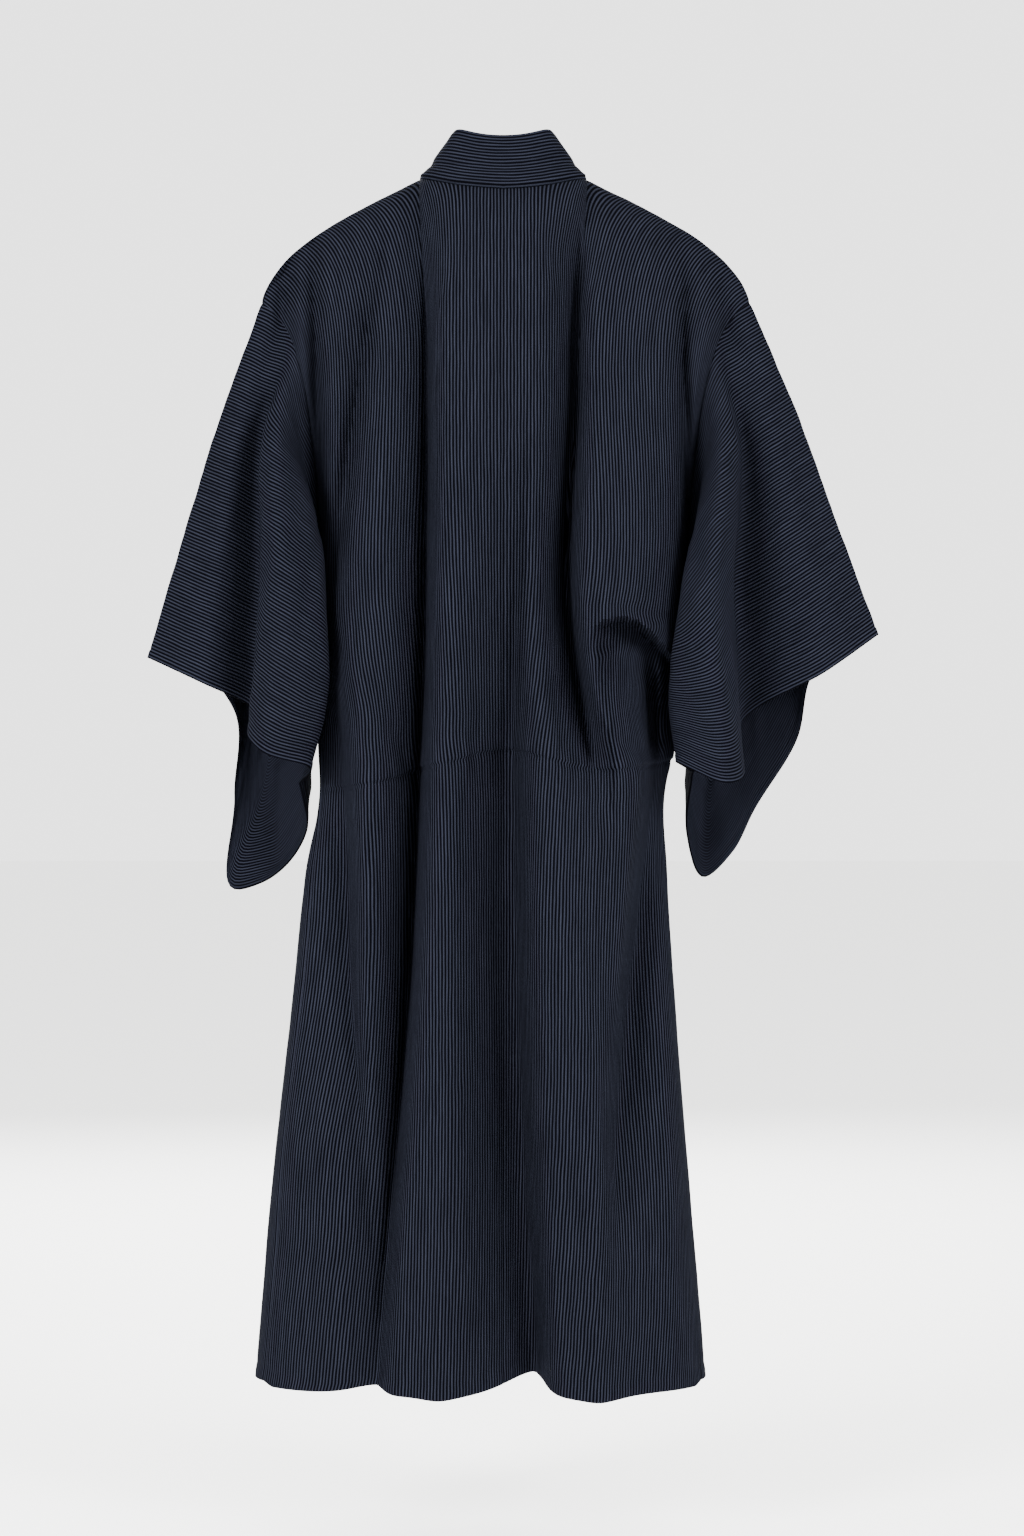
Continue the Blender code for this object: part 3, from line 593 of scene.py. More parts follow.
def walk(side, z, along):
    """Places at cloth lengths from the centre back, on the plain and on the folded path."""
    plain, folded = section(side, z)
    run = lengths(folded)
    plain, folded = (
        np.stack([np.interp(along, run, path[:, k]) for k in range(3)], axis=1) for path in (plain, folded)
    )
    return plain, folded


def top_line(side, along):
    """The back neck and the shoulder line, by cloth length from the centre back."""
    turn = np.clip(along / NECK_WIDTH, 0, 1) * math.pi / 2
    reach, height = BACK_NECK
    neck = np.stack(
        [
            NECK_WIDTH * np.sin(turn),
            SHOULDER_LINE[0][1] + (reach - SHOULDER_LINE[0][1]) * np.cos(turn),
            height + (SHOULDER_LINE[0][2] - height) * np.sin(turn) ** 2,
        ],
        axis=1,
    )
    out = np.clip((along - NECK_WIDTH) / (BACK_WIDTH - NECK_WIDTH), 0, 1)
    shoulder = bezier(*SHOULDER_LINE, out)
    line = np.where((along > NECK_WIDTH)[:, None], shoulder, neck)
    if side < 0:
        line[:, 0] *= -(1 + (RIGHT_SHOULDER_WIDER - 1) * out)
    return line


def fall(side, top, roll, ring, below, t):
    """The cloth between the shoulder line and the first level section, one column for each top point."""
    start = top + roll * np.array([side, 1, 1])
    lead = (ring - below) / np.linalg.norm(ring - below, axis=1)[:, None]
    end = ring + lead * (LEAD_SHARE * (top[:, 2:3] - ring[:, 2:3]))
    return bezier(top, start, end, ring, t[:, None] * np.ones(len(top)))


def levels_below():
    """The levels of the rows below the armholes, from there to the hem, closer at the stitched tuck."""
    waist = np.linspace(ARMPIT_Z, TUCK_TOP_Z, WAIST_ROWS + 1)[1:]
    tuck = np.linspace(TUCK_TOP_Z, TUCK_BOTTOM_Z, TUCK_ROWS + 1)[1:]
    skirt = np.linspace(TUCK_BOTTOM_Z, HEM_Z, SKIRT_ROWS + 1)[1:]
    return np.concatenate([waist, tuck, skirt])


def back_columns():
    """Cloth lengths of the back's columns, one of them at the side of the neck."""
    neck = closer_at_ends(0, NECK_WIDTH, NECK_COLUMNS)
    return np.concatenate([neck, closer_at_ends(NECK_WIDTH, BACK_WIDTH, SHOULDER_COLUMNS)[1:]])


def back_grid(side, along, levels):
    """Rows from the hem up to the shoulder line, columns from the centre back to the side seam."""
    rows = [walk(side, z, along)[1] for z in [*levels[::-1], ARMPIT_Z]]
    ring, _ = walk(side, ARMPIT_Z, along)
    below, _ = walk(side, ARMPIT_Z - LEAD_STEP, along)
    top = top_line(side, along)
    half_neck = 0.5 * NECK_WIDTH
    share = after(along, half_neck, BACK_WIDTH - half_neck)[:, None]
    roll = np.array(SHOULDER_ROLL["neck"]) * (1 - share) + np.array(SHOULDER_ROLL["armhole"]) * share
    near_neck = np.clip(along / NECK_WIDTH, 0, 1)[:, None]
    flatter = NECK_ROLL + (1 - NECK_ROLL) * near_neck
    roll = roll * np.concatenate([near_neck, flatter, flatter], axis=1)
    t = np.linspace(1, 0, UPPER_ROWS + 1)[1:]
    grid = fall(side, top, roll, ring, below, t)
    free = smooth((1 - along / BACK_WIDTH) / BACK_HELD)[None, :]
    grid[..., 1] += back_relief(grid[..., 0], grid[..., 2]) * smooth(FOLDS_SET_IN * t)[:, None] * free
    return np.concatenate([np.array(rows), grid])


def seam_share(t):
    """Where the seam between front and overlap piece crosses a row of the upper front."""
    share = (KENSAKI_Z - SHOULDER_LINE[0][2]) / (ARMPIT_Z - SHOULDER_LINE[0][2])
    at_ring = FRONT_WIDTH / (FRONT_WIDTH + okumi_width(ARMPIT_Z))
    return 1 - (1 - at_ring) * np.clip((t - share) / (1 - share), 0, 1)


def parting(t):
    """The two fronts part early enough for one collar to lie over the other."""
    return (smooth(t / PARTED_BY) - smooth(t))[:, None]


def front_rows(side, shares, along, levels):
    """Rows from the shoulder line down to the hem. shares holds, for each row, the columns' shares of the
    way from the side to the edge; along holds the back's columns, which the shoulder row shares."""
    t = np.linspace(0, 1, UPPER_ROWS + 1)
    dense = np.linspace(0, 1, RING_POINTS)
    ring_width = FRONT_WIDTH + okumi_width(ARMPIT_Z)
    ring, folded = walk(side, ARMPIT_Z, BACK_WIDTH + dense * ring_width)
    below, _ = walk(side, ARMPIT_Z - LEAD_STEP, BACK_WIDTH + dense * ring_width)
    top = top_line(side, BACK_WIDTH - dense * (BACK_WIDTH - NECK_WIDTH))
    share = smooth(dense)[:, None]
    roll = np.array(FRONT_ROLL["armhole"]) * (1 - share) + np.array(FRONT_ROLL["neck"]) * share
    grid = fall(side, top, roll, ring, below, t)
    grid[..., 1] -= side * LAP * parting(t) * after(dense, *PARTED_FROM)[None, :]
    free = smooth(dense / FRONT_HELD)[None, :]
    grid[..., 1] += front_relief(grid[..., 0], grid[..., 2]) * smooth(FOLDS_SET_IN * t)[:, None] * free
    grid[-1] = folded
    shoulder = along[along >= NECK_WIDTH - SAME_PLACE][::-1]
    rows = [top_line(side, shoulder)]
    if len(shares[0]) != len(shoulder):
        rows = [grid[0, -1:].repeat(len(shares[0]), 0)]
    for row, places in zip(grid[1:], shares[1:]):
        rows.append(at_lengths(row, places * lengths(row)[-1]))
    for z, places in zip(levels, shares[UPPER_ROWS + 1 :]):
        rows.append(walk(side, z, BACK_WIDTH + places * (FRONT_WIDTH + okumi_width(z)))[1])
    return np.array(rows)


def front_seam(levels):
    """The seam's share of the way from side to edge, for every row of the front."""
    t = np.linspace(0, 1, UPPER_ROWS + 1)
    below = np.array([FRONT_WIDTH / (FRONT_WIDTH + okumi_width(z)) for z in levels])
    return np.concatenate([seam_share(t), below])


def sleeve_grid(side, back_edge, front_edge):
    """Rows from armhole to cuff, columns round the sleeve from the shoulder down the back and up the front.

    back_edge and front_edge are the body's armhole, from the shoulder down.
    """
    table = SLEEVE_LEFT if side > 0 else SLEEVE_RIGHT
    foot = np.array(SLEEVE_FOOT["left" if side > 0 else "right"], float)
    armpit = back_edge[-1]
    down = np.linspace(0, 1, SLEEVE_FREE_COLUMNS + 1)[1:, None]
    hanging = armpit + (foot - armpit) * down
    hanging[:, 0] += side * HANGING_BOW * np.sin(math.pi * down[:, 0]) ** 0.5
    places = closer_at_ends(0, 1, SLEEVE_STEPS, 0.5)
    halves = []
    for edge, lines in ((back_edge, BACK_LINES), (front_edge, FRONT_LINES)):
        seam = np.concatenate([edge, hanging])
        if lines is FRONT_LINES:
            seam = seam[::-1]
        shares = lengths(seam) / lengths(seam)[-1]
        starts = at_lengths(seam, np.array(list(lines.values())) * lengths(seam)[-1])
        knots = np.array([[start, *table[name]] for start, name in zip(starts, lines)], float)
        rows = []
        for along in places:
            through = np.array([flow(STATIONS, line, along) for line in knots])
            run = lengths(through)
            path = flow(run, through, np.linspace(0, run[-1], SLEEVE_POINTS))
            rows.append(at_lengths(path, shares * lengths(path)[-1]))
        rows = np.array(rows)
        settle = 1 - smooth(places / STATIONS[1])
        rows += (seam - rows[0])[None] * settle[:, None, None]
        off = smooth(places / SLEEVE_OFF_BY) * before(places, *SLEEVE_OFF_TO)
        fallen = (seam[0, 2] if lines is BACK_LINES else seam[-1, 2]) - seam[:, 2]
        hung = np.clip((armpit[2] - seam[:, 2]) / (armpit[2] - foot[2]), 0, 1)
        clear = smooth(fallen / SLEEVE_CLEAR_BY) * (1 - hung)
        rows[..., 0] += side * SLEEVE_CLEAR * off[:, None] * clear[None, :]
        part = SLEEVE_OPEN * np.sin(math.pi * hung) * (1 if lines is BACK_LINES else -1)
        rows[..., 1] += off[:, None] * part[None, :]
        halves.append(rows)
    # Both halves share the fold over the arm and the seam below it.
    halves[1][:, -1] = halves[0][:, 0]
    halves[1][:, 0] = halves[0][:, -1]
    return halves


def collar_front(side, levels):
    """The collar down one front, in the front's own layer: rows from the neck down, columns across."""
    t = np.linspace(0, 1, UPPER_ROWS + 1)
    across = np.linspace(0, 1, COLLAR_STEPS + 1)
    start = BACK_WIDTH + FRONT_WIDTH
    level = start + okumi_width(ARMPIT_Z) + across * COLLAR_LEVEL_WIDTH
    ring, folded = walk(side, ARMPIT_Z, level)
    below, _ = walk(side, ARMPIT_Z - LEAD_STEP, level)
    way = np.array(COLLAR_AT_SIDE) / np.linalg.norm(COLLAR_AT_SIDE) * np.array([side, 1, 1])
    top = top_line(side, np.array([NECK_WIDTH])) + across[:, None] * COLLAR_WIDTH * way
    grid = fall(side, top, np.array(FRONT_ROLL["neck"]), ring, below, t)
    grid[..., 1] -= side * LAP * parting(t)
    grid[..., 1] += front_relief(grid[..., 0], grid[..., 2]) * smooth(FOLDS_SET_IN * t)[:, None]
    grid[-1] = folded
    lower = levels[levels > COLLAR_END_Z]
    rows = [walk(side, z, start + okumi_width(z) + across * COLLAR_LEVEL_WIDTH)[1] for z in lower]
    return np.concatenate([grid, np.array(rows)])


def collar_back(side, along):
    """The collar standing on half of the back neck: rows from the side of the neck to the middle."""
    along = along[along < NECK_WIDTH - SAME_PLACE][::-1]
    base = top_line(side, along)
    share = smooth(along / NECK_WIDTH)[:, None]
    way = np.array(COLLAR_AT_BACK) * (1 - share) + np.array(COLLAR_AT_SIDE) * np.array([side, 1, 1]) * share
    way /= np.linalg.norm(way, axis=1)[:, None]
    return base[:, None] + np.linspace(0, COLLAR_WIDTH, COLLAR_STEPS + 1)[None, :, None] * way[:, None]


def run_along(grid, axis):
    """For each point of a grid, how far it is from the start of its row (axis 1) or column (axis 0)."""
    steps = np.linalg.norm(np.diff(grid, axis=axis), axis=2)
    start = np.zeros_like(steps[:, :1] if axis == 1 else steps[:1])
    return np.concatenate([start, np.cumsum(steps, axis=axis)], axis=axis)


def groove(distance):
    """The dip of the cloth beside a seam."""
    return -SEAM_DIP * np.exp(-((distance / SEAM_HALF) ** 2))


def turned(distance, width):
    """How much thicker the cloth is within a turned edge, and the shallow dip at its stitches."""
    thicker = TURNING * before(distance, width, TURN_ROUND)
    return thicker, -STITCH_DIP * np.exp(-(((distance - width) / STITCH_HALF) ** 2))


def crease_height(creases, x, z):
    total = np.zeros_like(x)
    for xa, za, xb, zb, half, height, bow in creases:
        way = np.array([xb - xa, zb - za], float)
        size = np.linalg.norm(way)
        way /= size
        along = ((x - xa) * way[0] + (z - za) * way[1]) / size
        off = (z - za) * way[0] - (x - xa) * way[1] - bow * np.sin(math.pi * np.clip(along, 0, 1))
        taper = after(along, -CREASE_RUN_OUT, CREASE_TAPER)
        taper *= before(along, 1 + CREASE_RUN_OUT, CREASE_TAPER)
        total += height * np.exp(-((off / half) ** 2)) * taper
    return total


def soft_noise(u, v, cell_u, cell_v, seed):
    """Smooth unevenness between about -1 and 1, with cells of the given size in millimetres."""
    heights = np.random.default_rng(seed).uniform(-1, 1, (NOISE_CELLS, NOISE_CELLS))
    a, b = u / cell_u + NOISE_PLACE[0], v / cell_v + NOISE_PLACE[1]
    i, j = np.floor(a).astype(int), np.floor(b).astype(int)
    s, t = smooth(a - i), smooth(b - j)
    h = [[heights[(i + di) % NOISE_CELLS, (j + dj) % NOISE_CELLS] for dj in (0, 1)] for di in (0, 1)]
    return (h[0][0] * (1 - s) + h[1][0] * s) * (1 - t) + (h[0][1] * (1 - s) + h[1][1] * s) * t


def crinkle(u, v, seed):
    """The slight unevenness of worn, hand-pressed cotton."""
    layers = enumerate(CRINKLES)
    return sum(height * soft_noise(u, v, *cells, seed + k) for k, (height, *cells) in layers)


def tuck_lift(x, z):
    """The cloth above the stitched tuck lies over the cloth below it."""
    above = z - flow(*zip(*TUCK_LINE), x)
    over = TUCK_STEP * after(above, -TUCK_TURN / 2, TUCK_TURN)
    over *= np.exp(-np.clip(above, 0, None) / TUCK_REACH)
    return over - TUCK_DIP * np.exp(-(((above + TUCK_DIP_AT) / TUCK_DIP_HALF) ** 2))


class Patch:
    """A grid of cloth: places, cloth coordinates across and along the weave, lift and extra thickness."""

    def __init__(self, grid, across, along, lift, thicker, turned_round):
        self.grid, self.lift, self.thicker, self.turned_round = grid, lift, thicker, turned_round
        self.cloth = np.stack([across, along], axis=-1)


def back_cloth_across(side, grid):
    """Cloth lengths across the back: from the centre seam inside the sharp fold, and from the armhole or
    side outside it, so that the stripes keep their pitch and the fold hides what is over."""
    run = run_along(grid, 1)
    (top, bottom), places, *_ = BACK_CREVICES["left_deep" if side > 0 else "right_upper"]
    fold = flow(np.linspace(top, bottom, len(places)), np.abs(places), grid[..., 2])
    narrow, more = STRIPE_CHANGE
    spread = narrow + more * after(grid[..., 2], *STRIPE_CHANGE_FROM)
    outside = smooth((np.abs(grid[..., 0]) - fold + spread) / (2 * spread))
    return run + (BACK_WIDTH - run[:, -1:]) * outside


def back_patch(side, along, levels):
    grid = back_grid(side, along, levels)
    u = back_cloth_across(side, grid)
    # The armhole follows the finer folds, and the side seam below it keeps the front's place.
    inside = before(along, BACK_WIDTH, SIDE_SEAM_HELD)[None, :]
    free = np.maximum(inside, after(grid[..., 2] - ARMPIT_Z, *ARMPIT_FREE))
    free = free * before(grid[..., 2], *SHOULDER_HELD)
    fine = fine_relief(grid[..., 0], grid[..., 2]) * free
    # The hem rides up in the hollows and drops at the crests.
    relief = back_relief(grid[..., 0], grid[..., 2]) + fine
    rise = -HEM_RISE * (relief + HEM_LEVEL) * before(grid[..., 2], *HEM_WAVES) * inside
    grid[..., 1] += fine
    grid[..., 2] += rise
    up = run_along(grid, 0)
    down = up[-1:] - up
    x, z = grid[..., 0], grid[..., 2]
    run = run_along(grid, 1)
    edge = run[:, -1:] - run
    lift = groove(run) + groove(edge) + crinkle(side * run, down, CRINKLE_SEEDS["back"])
    lift += NECK_SEAM_DEEPER * groove(down) * (along < NECK_WIDTH)
    inside = smooth(run / CENTRE_SEAM_CLEAR) * smooth(edge / SIDE_SEAM_CLEAR)
    lift += crease_height(BACK_CREASES, x, z) * inside + tuck_lift(x, z) * smooth(edge / TUCK_CLEAR)
    thicker, dip = turned(up, HEM_TURN)
    return Patch(grid, side * u, down, lift + dip, thicker, side > 0)


def front_patch(side, along, levels, seam):
    columns = int((along >= NECK_WIDTH - SAME_PLACE).sum())
    places = closer_at_ends(0, 1, columns - 1)
    grid = front_rows(side, [places * s for s in seam], along, levels)
    across = run_along(grid, 1)
    down = run_along(grid, 0)
    edge = across[:, -1:] - across
    lift = groove(across) + groove(edge) + crinkle(side * across, down, CRINKLE_SEEDS["front"])
    inside = smooth(across / SIDE_SEAM_CLEAR) * smooth(edge / FRONT_EDGE_CLEAR)
    lift += crease_height(FRONT_CREASES, grid[..., 0], grid[..., 2]) * inside
    thicker, dip = turned(down[-1:] - down, HEM_TURN)
    return Patch(grid, side * (BACK_WIDTH - across), -down, lift + dip, thicker, side < 0)


def okumi_patch(side, along, levels, seam):
    start = max(i for i, share in enumerate(seam[: UPPER_ROWS + 1]) if share >= 1.0)
    places = closer_at_ends(0, 1, OKUMI_COLUMNS)
    grid = front_rows(side, [s + (1 - s) * places for s in seam], along, levels)[start:]
    across = run_along(grid, 1)
    down = run_along(grid, 0)
    crinkled = crinkle(side * across + OKUMI_PLACE, down, CRINKLE_SEEDS["okumi"])
    lift = groove(across) + crinkled * smooth(across / OKUMI_SEAM_CLEAR)
    free = (grid[..., 2] < COLLAR_END_Z).astype(float)
    edge = across[:, -1:] - across
    hem, hem_dip = turned(down[-1:] - down, HEM_TURN)
    fold, fold_dip = turned(edge, EDGE_TURN)
    lift += groove(edge) * (1 - free) + hem_dip + fold_dip * free
    return Patch(grid, side * (across + OKUMI_PLACE), -down, lift, np.maximum(hem, fold * free), side < 0)


def sleeve_patches(side, back, front):
    lower = len(back.grid) - 1 - UPPER_ROWS
    back_edge = back.grid[lower:, -1][::-1]
    front_edge = front.grid[: UPPER_ROWS + 1, 0]
    halves = sleeve_grid(side, back_edge, front_edge)
    out = []
    for grid, behind in ((halves[0], True), (halves[1], False)):
        out_from_armhole = run_along(grid, 0)
        u = SLEEVE_WIDTH - out_from_armhole[-1:] + out_from_armhole
        run = run_along(grid, 1)
        v = run if behind else run[:, -1:] - run
        lines = SLEEVE_BACK_CREASES if behind else SLEEVE_FRONT_CREASES
        lift = groove(out_from_armhole)
        lift += crease_height(lines, v, u) * smooth(out_from_armhole / ARMHOLE_CLEAR)
        round_sleeve = v * (1 if behind else -1)
        lift += crinkle(u + SLEEVE_PLACE * side, round_sleeve, CRINKLE_SEEDS["sleeve"])
        below = v.max(axis=1)[:, None] - v
        lift += groove(below) * smooth(out_from_armhole / SLEEVE_SEAM_CLEAR)
        thicker, dip = turned(SLEEVE_WIDTH - u, CUFF_TURN)
        out.append(Patch(grid, u, round_sleeve, lift + dip, thicker, side > 0))
    return out


def collar_patch(along, levels):
    """Rows along the neck seam from the left end to the right end, columns across the collar."""
    halves = []
    for side in (1, -1):
        down = collar_front(side, levels)[::-1]
        halves.append(np.concatenate([down, collar_back(side, along)]))
    grid = np.concatenate([halves[0], halves[1][::-1][1:]])
    across = run_along(grid, 1)
    run = run_along(grid, 0)
    edge = across[:, -1:] - across
    start, end = COLLAR_BACK
    at_back = after(run, start * run[-1], COLLAR_BACK_END) * before(run, end * run[-1], COLLAR_BACK_END)
    sway, slowness = COLLAR_FOLD_SWAY
    fold_line = across - COLLAR_FOLD_AT - sway * np.sin(run / slowness)
    low, fine = COLLAR_CRINKLE
    lift = groove(across) + low * crinkle(across * fine, run, CRINKLE_SEEDS["collar"])
    lift += COLLAR_LIP * np.exp(-(((across - COLLAR_LIP_AT) / COLLAR_LIP_HALF) ** 2)) * at_back
    lift -= COLLAR_FOLD * np.exp(-((fold_line / COLLAR_FOLD_HALF) ** 2)) * at_back
    thicker = -COLLAR_THINNER * np.exp(-((edge / COLLAR_THINNER_HALF) ** 2))
    return Patch(grid, across, run, lift, thicker, True)


def cloth_patches():
    """Every patch of the cloth, by name."""
    patches = {}
    along = back_columns()
    levels = levels_below()
    seam = front_seam(levels)
    for name, side in (("left", 1), ("right", -1)):
        back = back_patch(side, along, levels)
        front = front_patch(side, along, levels, seam)
        patches["back_" + name] = back
        patches["front_" + name] = front
        patches["okumi_" + name] = okumi_patch(side, along, levels, seam)
        halves = sleeve_patches(side, back, front)
        patches["sleeve_back_" + name], patches["sleeve_front_" + name] = halves
    patches["collar"] = collar_patch(along, levels)
    return patches


def grid_faces(shape, turned_round):
    rows, columns = shape
    number = np.arange(rows * columns).reshape(rows, columns)
    here, beside, across, below = number[:-1, :-1], number[:-1, 1:], number[1:, 1:], number[1:, :-1]
    corners = (here, below, across, beside) if turned_round else (here, beside, across, below)
    return np.stack(corners, axis=-1).reshape(-1, 4)


def weld(patches):
    """Patches joined where their points agree: points, lifts, thickness, and each patch's faces with their
    cloth coordinates."""
    points = np.concatenate([p.grid.reshape(-1, 3) for p in patches.values()])
    _, first, back = np.unique(np.round(points, 2), axis=0, return_index=True, return_inverse=True)
    back = back.reshape(-1)
    count = np.bincount(back)
    lift = np.bincount(back, np.concatenate([p.lift.ravel() for p in patches.values()])) / count
    thicker = np.bincount(back, np.concatenate([p.thicker.ravel() for p in patches.values()])) / count
    faces, start = {}, 0
    for name, patch in patches.items():
        corners = grid_faces(patch.grid.shape[:2], patch.turned_round)
        faces[name] = (back[corners + start], patch.cloth.reshape(-1, 2)[corners])
        start += patch.grid.shape[0] * patch.grid.shape[1]
    return points[first], lift, thicker, faces


def point_normals(points, quads):
    """Normals at the points, each half of a face counting by its angle there."""
    triangles = np.concatenate([quads[:, [0, 1, 2]], quads[:, [0, 2, 3]]])
    corner = points[triangles]
    normal = np.cross(corner[:, 1] - corner[:, 0], corner[:, 2] - corner[:, 0])
    normal /= np.maximum(np.linalg.norm(normal, axis=1), 1e-9)[:, None]
    total = np.zeros_like(points)
    for k in range(3):
        ahead, behind = corner[:, (k + 1) % 3] - corner[:, k], corner[:, (k + 2) % 3] - corner[:, k]
        size = np.linalg.norm(ahead, axis=1) * np.linalg.norm(behind, axis=1)
        angle = np.arccos(np.clip((ahead * behind).sum(axis=1) / np.maximum(size, 1e-9), -1, 1))
        np.add.at(total, triangles[:, k], normal * angle[:, None])
    size = np.linalg.norm(total, axis=1)
    return total / np.where(size > 0, size, 1)[:, None]


def shell_object(name, points, normals, half, quads, cloth, material):
    """A thin closed shell of cloth on some faces of the welded surface."""
    used, local = np.unique(quads, return_inverse=True)
    local = local.reshape(-1, 4)
    count = len(used)
    p, n, h = points[used], normals[used], half[used][:, None]
    verts = np.concatenate([p + n * h, p - n * h]) * MM
    edges = np.stack([local, np.roll(local, -1, axis=1)], axis=-1).reshape(-1, 2)
    uses = np.stack([cloth, np.roll(cloth, -1, axis=1)], axis=2).reshape(-1, 2, 2)
    key = np.sort(edges, axis=1)
    _, place, times = np.unique(key, axis=0, return_inverse=True, return_counts=True)
    rim = (times[place.reshape(-1)] == 1) & (edges[:, 0] != edges[:, 1])
    a, b = edges[rim, 0], edges[rim, 1]
    sides = np.stack([b, a, a + count, b + count], axis=1)
    side_cloth = uses[rim][:, [1, 0, 0, 1]]
    faces = np.concatenate([local, local[:, ::-1] + count, sides])
    coords = np.concatenate([cloth, cloth[:, ::-1], side_cloth])
    lists, uv = [], []
    for face, places in zip(faces.tolist(), coords.tolist()):
        keep = [k for k in range(4) if face[k] != face[k - 1]]
        if len(keep) > 2:
            lists.append([face[k] for k in keep])
            uv += [places[k] for k in keep]
    mesh = bpy.data.meshes.new(name)
    mesh.from_pydata(verts.tolist(), [], lists)
    layer = mesh.uv_layers.new(name="cloth")
    layer.data.foreach_set("uv", (np.array(uv) * MM).ravel())
    mesh.materials.append(material)
    mesh.shade_smooth()
    mesh.set_sharp_from_angle(angle=math.radians(60))
    thing = bpy.data.objects.new(name, mesh)
    bpy.context.collection.objects.link(thing)
    return thing


def colour(code):
    """An sRGB hex colour as linear values."""
    parts = [int(code[i : i + 2], 16) / 255 for i in (1, 3, 5)]
    return tuple(c / 12.92 if c <= 0.04045 else ((c + 0.055) / 1.055) ** 2.4 for c in parts) + (1.0,)


def add_node(tree, kind, settings=(), inputs=(), links=()):
    """Adds a node, sets its properties and input values, and links its inputs."""
    node = tree.nodes.new(kind)
    for key, value in dict(settings).items():
        setattr(node, key, value)
    for key, value in dict(inputs).items():
        node.inputs[key].default_value = value
    for key, source in dict(links).items():
        tree.links.new(source, node.inputs[key])
    return node


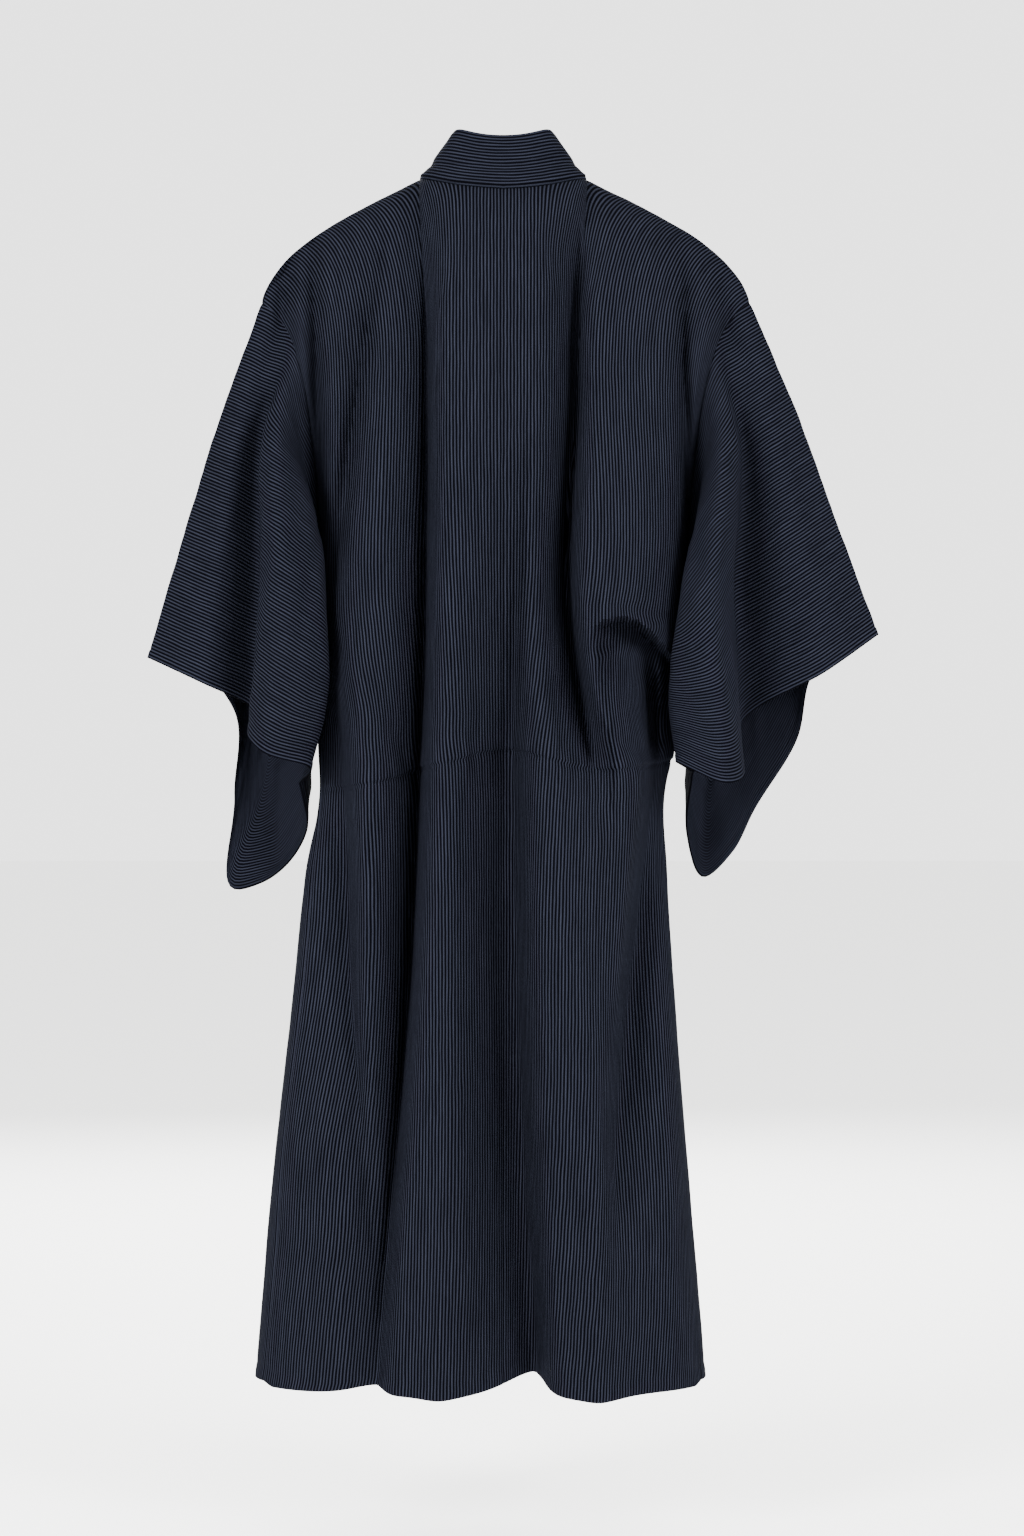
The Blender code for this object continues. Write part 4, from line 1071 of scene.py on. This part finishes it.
def striped_cotton(name, stripe, seed, roughness):
    """Yarn-dyed plain-woven cotton, washed and pressed: a matt navy ground, fine grey-blue warp stripes.

    Each stripe is a few warp threads wide, so its edges are soft and its strength wanders along the cloth.
    The short fibres give a faint sheen at grazing angles and no gloss.
    """
    material = bpy.data.materials.new(name)
    material.use_nodes = True
    tree = material.node_tree
    shader = tree.nodes["Principled BSDF"]
    # The cloth coordinates are metres across and along the weave.
    uv = add_node(tree, "ShaderNodeUVMap", {"uv_map": "cloth"}).outputs["UV"]
    place = add_node(tree, "ShaderNodeSeparateXYZ", links={"Vector": uv})
    noise = {}
    for kind, along, shift, values in (
        # Washing bends the threads a little.
        ("wander", 0.3, seed, {"Scale": 90.0, "Detail": 2.0}),
        # Slubs are slow changes of strength along each thread.
        ("slub", 0.035, 0.0, {"Scale": 520.0, "Detail": 3.0, "Roughness": 0.6}),
        # The ground is a little paler in broad patches, where wear and washing have taken dye.
        ("fade", 1.0, 0.0, {"Scale": 7.0, "Detail": 4.0, "Roughness": 0.55}),
        # Hand-pressed cloth keeps a fine crinkle.
        ("crinkle", 0.4, 0.0, {"Scale": 150.0, "Detail": 4.0, "Roughness": 0.6}),
    ):
        drawn_out = add_node(
            tree,
            "ShaderNodeMapping",
            inputs={"Scale": (1.0, along, 1.0), "Location": (shift, 0, 0)},
            links={"Vector": uv},
        )
        cloud = add_node(
            tree, "ShaderNodeTexNoise", inputs=values, links={"Vector": drawn_out.outputs["Vector"]}
        )
        noise[kind] = cloud.outputs["Fac"]
    bent = add_node(
        tree,
        "ShaderNodeMath",
        {"operation": "MULTIPLY_ADD"},
        {1: STRIPE_WANDER * MM},
        {0: noise["wander"], 2: place.outputs["X"]},
    )
    # The wave rises from 0 at the middle of the ground to 0.5 at the middle of a stripe.
    pitch = add_node(
        tree,
        "ShaderNodeMath",
        {"operation": "MULTIPLY"},
        {1: 1 / (STRIPE_PITCH * MM)},
        {0: bent.outputs[0]},
    )
    wave = add_node(tree, "ShaderNodeMath", {"operation": "PINGPONG"}, {1: 0.5}, {0: pitch.outputs[0]})
    line = add_node(
        tree,
        "ShaderNodeMapRange",
        {"interpolation_type": "SMOOTHSTEP"},
        {"From Min": 0.2, "From Max": 0.38},
        {"Value": wave.outputs[0]},
    )
    strength = add_node(
        tree,
        "ShaderNodeMapRange",
        inputs={"From Min": 0.25, "From Max": 0.75, "To Min": 0.5, "To Max": 1.15},
        links={"Value": noise["slub"]},
    )
    shown = add_node(
        tree,
        "ShaderNodeMath",
        {"operation": "MULTIPLY", "use_clamp": True},
        links={0: line.outputs["Result"], 1: strength.outputs["Result"]},
    )
    fade = add_node(
        tree,
        "ShaderNodeMix",
        {"data_type": "RGBA"},
        {"A": colour(GROUND), "B": colour(FADED_GROUND)},
        {"Factor": noise["fade"]},
    )
    tint = add_node(
        tree,
        "ShaderNodeMix",
        {"data_type": "RGBA"},
        {"B": colour(stripe)},
        {"Factor": shown.outputs[0], "A": fade.outputs["Result"]},
    )
    tree.links.new(tint.outputs["Result"], shader.inputs["Base Color"])
    shader.inputs["Roughness"].default_value = roughness
    shader.inputs["IOR"].default_value = 1.5
    shader.inputs["Specular IOR Level"].default_value = 0.004
    shader.inputs["Sheen Weight"].default_value = 0.002
    shader.inputs["Sheen Roughness"].default_value = 0.5
    shader.inputs["Sheen Tint"].default_value = colour(FIBRE_SHEEN)
    # Threads run over and under each other.
    threads = []
    for axis in ("X", "Y"):
        turns = add_node(
            tree,
            "ShaderNodeMath",
            {"operation": "MULTIPLY"},
            {1: 2 * math.pi / (THREAD_PITCH * MM)},
            {0: place.outputs[axis]},
        )
        thread = add_node(tree, "ShaderNodeMath", {"operation": "SINE"}, links={0: turns.outputs[0]})
        threads.append(thread.outputs[0])
    weave = add_node(
        tree, "ShaderNodeMath", {"operation": "MULTIPLY"}, links={0: threads[0], 1: threads[1]}
    )
    # Columns: what stands up, how strongly, and how high in millimetres.
    reliefs = (
        (weave.outputs[0], 0.35, 0.12),
        (shown.outputs[0], 0.45, 0.3),
        (noise["crinkle"], 0.35, 1.2),
    )
    below = {}
    for source, share, height in reliefs:
        bump = add_node(
            tree,
            "ShaderNodeBump",
            inputs={"Strength": share, "Distance": height * MM},
            links={"Height": source, **below},
        )
        below = {"Normal": bump.outputs["Normal"]}
    tree.links.new(below["Normal"], shader.inputs["Normal"])
    return material


def floor_paint():
    """Matt white studio paint on board, rolled on, so it is even with a faint orange peel."""
    material = bpy.data.materials.new("matt_studio_paint")
    material.use_nodes = True
    tree = material.node_tree
    shader = tree.nodes["Principled BSDF"]
    shader.inputs["Base Color"].default_value = colour(FLOOR_WHITE)
    shader.inputs["Roughness"].default_value = 0.9
    peel = add_node(tree, "ShaderNodeTexNoise", inputs={"Scale": 300.0, "Detail": 2.0})
    bump = add_node(
        tree,
        "ShaderNodeBump",
        inputs={"Strength": 0.1, "Distance": 0.0004},
        links={"Height": peel.outputs["Fac"]},
    )
    tree.links.new(bump.outputs["Normal"], shader.inputs["Normal"])
    return material


def dress():
    """Makes every piece of cloth and tells the frame what each stands for."""
    patches = cloth_patches()
    points, lift, thicker, faces = weld(patches)
    every = np.concatenate([quads for quads, _ in faces.values()])
    points = points + point_normals(points, every) * lift[:, None]
    normals = point_normals(points, every)
    # The collar's stripes wander on their own, and its doubled cloth is pressed a little smoother.
    cotton = striped_cotton("yarn_dyed_cotton", STRIPE, 0.0, 0.86)
    band = striped_cotton("folded_collar_cotton", COLLAR_STRIPE, 5.0, 0.82)
    for name, parts in PIECES.items():
        quads = np.concatenate([faces[part][0] for part in parts])
        cloth = np.concatenate([faces[part][1] for part in parts])
        shell, look = (COLLAR_SHELL, band) if name == "collar" else (SHELL, cotton)
        half = (shell + thicker) / 2
        piece = shell_object("cloth_" + name, points, normals, half, quads, cloth, look)
        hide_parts(name)
        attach(piece, "root")


def studio():
    """A pale floor, soft light from the front and above, and the camera behind the garment."""
    world = bpy.data.worlds.new("studio")
    world.use_nodes = True
    sky = world.node_tree.nodes["Background"]
    sky.inputs["Color"].default_value = colour(SKY_WHITE)
    sky.inputs["Strength"].default_value = SKY_STRENGTH
    bpy.context.scene.world = world
    mesh = bpy.data.meshes.new("floor")
    corners = [(x * FLOOR_HALF, y * FLOOR_HALF, FLOOR_Z) for x, y in ((-1, -1), (1, -1), (1, 1), (-1, 1))]
    mesh.from_pydata(corners, [], [(0, 1, 2, 3)])
    mesh.materials.append(floor_paint())
    floor = bpy.data.objects.new("floor", mesh)
    bpy.context.collection.objects.link(floor)
    for name, place, target, size, power in LIGHTS:
        lamp = bpy.data.lights.new(name, "AREA")
        lamp.shape = "SQUARE"
        lamp.size = size
        lamp.energy = power
        thing = bpy.data.objects.new(name, lamp)
        thing.location = place
        way = np.array(target, float) - np.array(place, float)
        across = math.hypot(way[0], way[1])
        thing.rotation_euler = (math.atan2(across, -way[2]), 0, math.atan2(way[1], way[0]) - math.pi / 2)
        bpy.context.collection.objects.link(thing)
    lens = bpy.data.cameras.new("camera")
    lens.sensor_fit = "VERTICAL"
    lens.sensor_height = CAMERA_SENSOR
    lens.lens = CAMERA_LENS
    camera = bpy.data.objects.new("camera", lens)
    camera.location = CAMERA_PLACE
    camera.rotation_euler = (math.pi / 2, 0, math.pi)
    bpy.context.collection.objects.link(camera)
    bpy.context.scene.camera = camera


studio()
dress()
